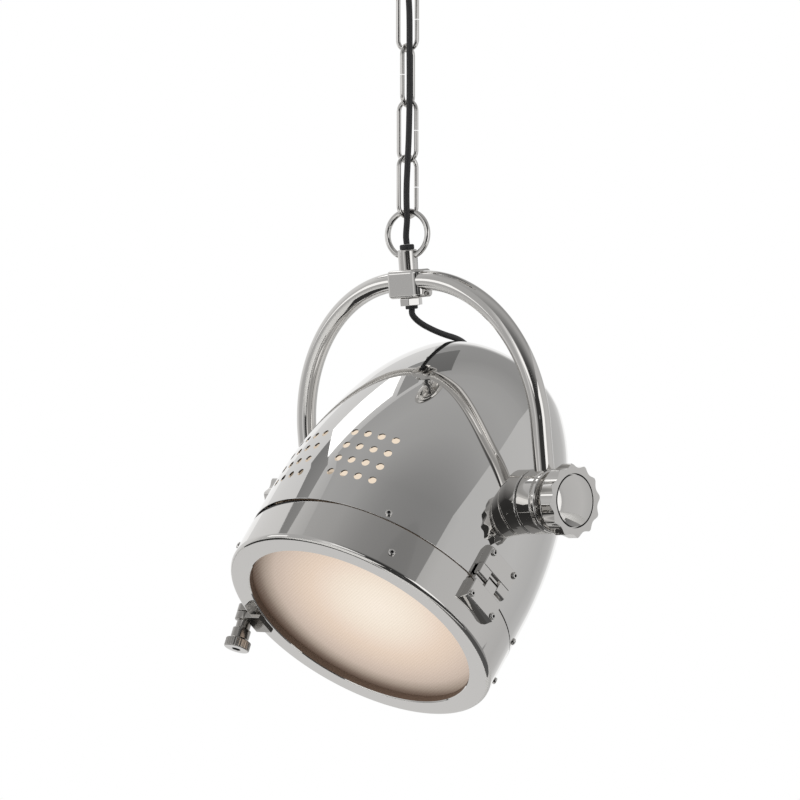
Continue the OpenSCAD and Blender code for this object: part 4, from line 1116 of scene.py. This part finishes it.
# %% Screws in their places
def screws(name, places, body, replaced):
    """Screw heads on points that face outwards, in the lamp's frame."""
    mesh = bpy.data.meshes.new(name)
    mesh.from_pydata([LAMP @ Vector(p) for p, _ in places], [], [])
    facing = mesh.attributes.new("facing", "FLOAT_VECTOR", "POINT")
    for i, (_, way) in enumerate(places):
        facing.data[i].vector = LAMP_TURN @ Vector(way)
    made = grown(linked(name, mesh), screw_tree, Head=head, Finish=nickel)
    dress(made, body, nickel, replaced)
    for p, way in places:
        place = LAMP @ shift(*p) @ Vector(way).to_track_quat("Z", "Y").to_matrix().to_4x4()
        # Each socket is painted black as painted shade.
        paint_shade(made, place.inverted(), lambda r, z: r < 1.6 and 0.8 < z < 2.3)
    print(name, len(places))


def round_the_rim(s, first):
    """Four places round the shade's rim, a quarter turn apart."""
    ways = [spin(-first - turn, "Z") @ Vector((1, 0, 0)) for turn in (0, 90, 180, 270)]
    return [(SHADE_R * way - Vector((0, 0, s)), way) for way in ways]


def on_leaf(z):
    """Two places on a hinge plate."""
    return [((HINGE_X + 4.2, y, z), (1, 0, 0)) for y in (-18, 18)]


screws("rim_screw_heads", round_the_rim(101.5, 49.5), "shade", "rim_screws")
screws("bezel_screw_heads", round_the_rim(138.5, 41), "bezel", "bezel_screws")
screws("leaf_screws_shade", on_leaf(-78.5), "shade", "hinge_screws_shade")
screws("leaf_screws_bezel", on_leaf(-128.5), "bezel", "hinge_screws_bezel")
bpy.data.objects.remove(head)

# %% [markdown]
# ## What stays as CAD
# The fittings inside the shade keep their CAD mesh and take the finish of their slot.

# %% Finish of the CAD nodes
slots = {
    rubber: ["gasket"],
    ceramic: ["lampholder"],
    bulb_glass: ["bulb"],
    aluminium: ["bulb_cap", "rim_hoop"],
    nickel: ["hinge_pin", "latch_clip", "pivot_studs"],
}
for node, obj in nodes.items():
    finish = next((m for m, names in slots.items() if node in names), steel)
    obj.data.materials.clear()
    obj.data.materials.append(finish)
print("CAD nodes shown:", [n for n, o in nodes.items() if not o.hide_render])

# %% [markdown]
# ## Studio
# The room is white to the camera, to mirrors and through glass, and softer as light on the lamp.
# That keeps the background pale without more light on the metal.

# %% World and floor
ROOM_LIGHT = 0.55
FLOOR_Z = -1400
FLOOR_R = 3000
world = bpy.data.worlds.new("studio")
scene.world = world
world.use_nodes = True
add, calc = nodes_in(world.node_tree)
ray = add("ShaderNodeLightPath").outputs
seen = calc("ADD", ray["Is Camera Ray"], ray["Is Glossy Ray"])
seen = add("ShaderNodeMath", {0: seen, 1: ray["Is Transmission Ray"]}, operation="ADD", use_clamp=True)
level = calc("MULTIPLY_ADD", seen, 1 - ROOM_LIGHT, ROOM_LIGHT)
feed(world.node_tree.nodes["Background"], {"Color": (1, 1, 1, 1), "Strength": level})
slab = [(r, FLOOR_Z, 0, -1) for r in (0, FLOOR_R)] + [(r, FLOOR_Z + 10, 0, 1) for r in (FLOOR_R, 0)]
floor = put("floor", lathe(slab))
floor.data.materials.append(finish_of("pale_floor", (0.86, 0.86, 0.85), 0.0, 0.9))
print("world and floor made")

# %% Lights
def lamp_light(name, toward, distance, size, power):
    """A soft square light that mirrors don't show."""
    light = bpy.data.lights.new(name, "AREA")
    light.energy = power
    light.size = size
    obj = linked(name, light)
    way = (right * toward[0] + above * toward[1] + back * toward[2]).normalized()
    obj.location = PIVOT + way * distance
    obj.rotation_euler = (-way).to_track_quat("-Z", "Y").to_euler()
    obj.visible_glossy = False


lamp_light("key", (-1.0, 1.0, 1.2), 2.4, 1.2, 30)
lamp_light("fill", (1.2, 0.3, 0.8), 2.6, 1.4, 14)
print("lights made")

# %% [markdown]
# Polished metal has no tone of its own: its greys are the studio's walls, windows and dark corners.
# Cards that only mirrors see stand for these. They are pieces of spheres round the pivot,
# because the angle of a reflection then says where its card has to be.

# %% Card builder
CARD_STEP = 3


def card(place, around, distance, stops, strength=1.0):
    """A piece of a sphere, with its angles around the view and its tones at angles off the view."""
    name = "card_" + place
    near, far = stops[0][0], stops[-1][0]
    columns, rows = (max(2, int((b - a) / CARD_STEP)) for a, b in (around, (near, far)))
    corners, faces, spots = [], [], []
    for i in range(rows + 1):
        theta = math.radians(near + (far - near) * i / rows)
        for k in range(columns + 1):
            phi = math.radians(around[0] + (around[1] - around[0]) * k / columns)
            way = back * math.cos(theta) + (right * math.cos(phi) + above * math.sin(phi)) * math.sin(theta)
            corners.append(PIVOT + way * distance)
            spots.append((k / columns, i / rows))
            if i < rows and k < columns:
                n = i * (columns + 1) + k
                faces.append((n, n + 1, n + columns + 2, n + columns + 1))
    mesh = bpy.data.meshes.new(name)
    mesh.from_pydata(corners, [], faces)
    layer = mesh.uv_layers.new(name="spread")
    for loop in mesh.loops:
        layer.data[loop.index].uv = spots[loop.vertex_index]
    material = bpy.data.materials.new(name)
    material.use_nodes = True
    tree = material.node_tree
    tree.nodes.remove(tree.nodes["Principled BSDF"])
    add, _ = nodes_in(tree)
    part = add("ShaderNodeSeparateXYZ", {"Vector": add("ShaderNodeTexCoord").outputs["UV"]})
    tones = [((angle - near) / (far - near), (tone, tone, tone)) for angle, tone in stops]
    shine = add("ShaderNodeEmission", {"Color": ramp_in(add, part.outputs["Y"], tones), "Strength": strength})
    feed(tree.nodes["Material Output"], {"Surface": shine})
    mesh.materials.append(material)
    obj = linked(name, mesh)
    for kind in ("camera", "diffuse", "transmission", "shadow", "volume_scatter"):
        setattr(obj, "visible_" + kind, False)


print("card builder ready")

# %% Cards for the mirrors
card("camera", (0, 360), 3.0, [(1, 0.04), (25, 0.05)])
card("window", (-50, 35), 3.1, [(27, 0.9), (36, 1.0), (52, 0.9)], 1.3)
card("front_left", (128, 232), 3.3, [(25, 0.25), (42, 0.55), (52, 0.85)])
card("front_top", (35, 128), 3.3, [(25, 0.06), (52, 0.25)])
card("front_low", (232, 330), 1.0, [(16, 0.04), (45, 0.05), (64, 0.08)])
card("top_near", (37, 125), 3.6, [(52, 0.27), (60, 0.31), (75, 0.42), (90, 0.46), (104, 0.43)])
card("top_far", (37, 98), 3.6, [(104, 0.42), (118, 0.35), (140, 0.36), (150, 0.8)])
card("right", (-75, 37), 3.6, [(52, 0.5), (60, 0.58), (100, 0.62), (130, 0.54), (145, 0.58), (158, 0.8)])
card("left_near", (125, 200), 3.6, [(52, 0.7), (62, 0.48), (90, 0.5), (104, 0.6)])
card("left_far", (98, 200), 3.6, [(104, 0.6), (115, 0.76), (150, 0.8)])
card("band", (128.5, 135), 3.4, [(104, 0.3), (121, 0.24)])
card("softbox", (109, 129), 3.0, [(109, 1.0), (127, 1.0)], 1.9)
card("dark", (86, 100), 3.0, [(108, 0.17), (132, 0.2)])
card("dark_edge", (100, 107), 3.0, [(106, 0.34), (127, 0.32)])
card("hub_light", (163, 180), 3.2, [(80, 1.0), (98, 1.0)], 1.3)
card("hub_dark", (204, 240), 0.9, [(84, 0.04), (110, 0.04)])
card("low_dark", (256, 313), 0.75, [(62, 0.1), (80, 0.1), (104, 0.12)])
card("low_mid", (313, 338), 0.75, [(62, 0.2), (80, 0.3), (106, 0.34)])
card("low_face", (215, 270), 0.85, [(111, 0.7), (126, 0.74), (150, 0.74)])
card("front_light", (137, 163), 2.9, [(20, 0.8), (34, 1.0), (46, 0.9)], 1.3)

# %% Finish
scene.view_settings.view_transform = "Standard"
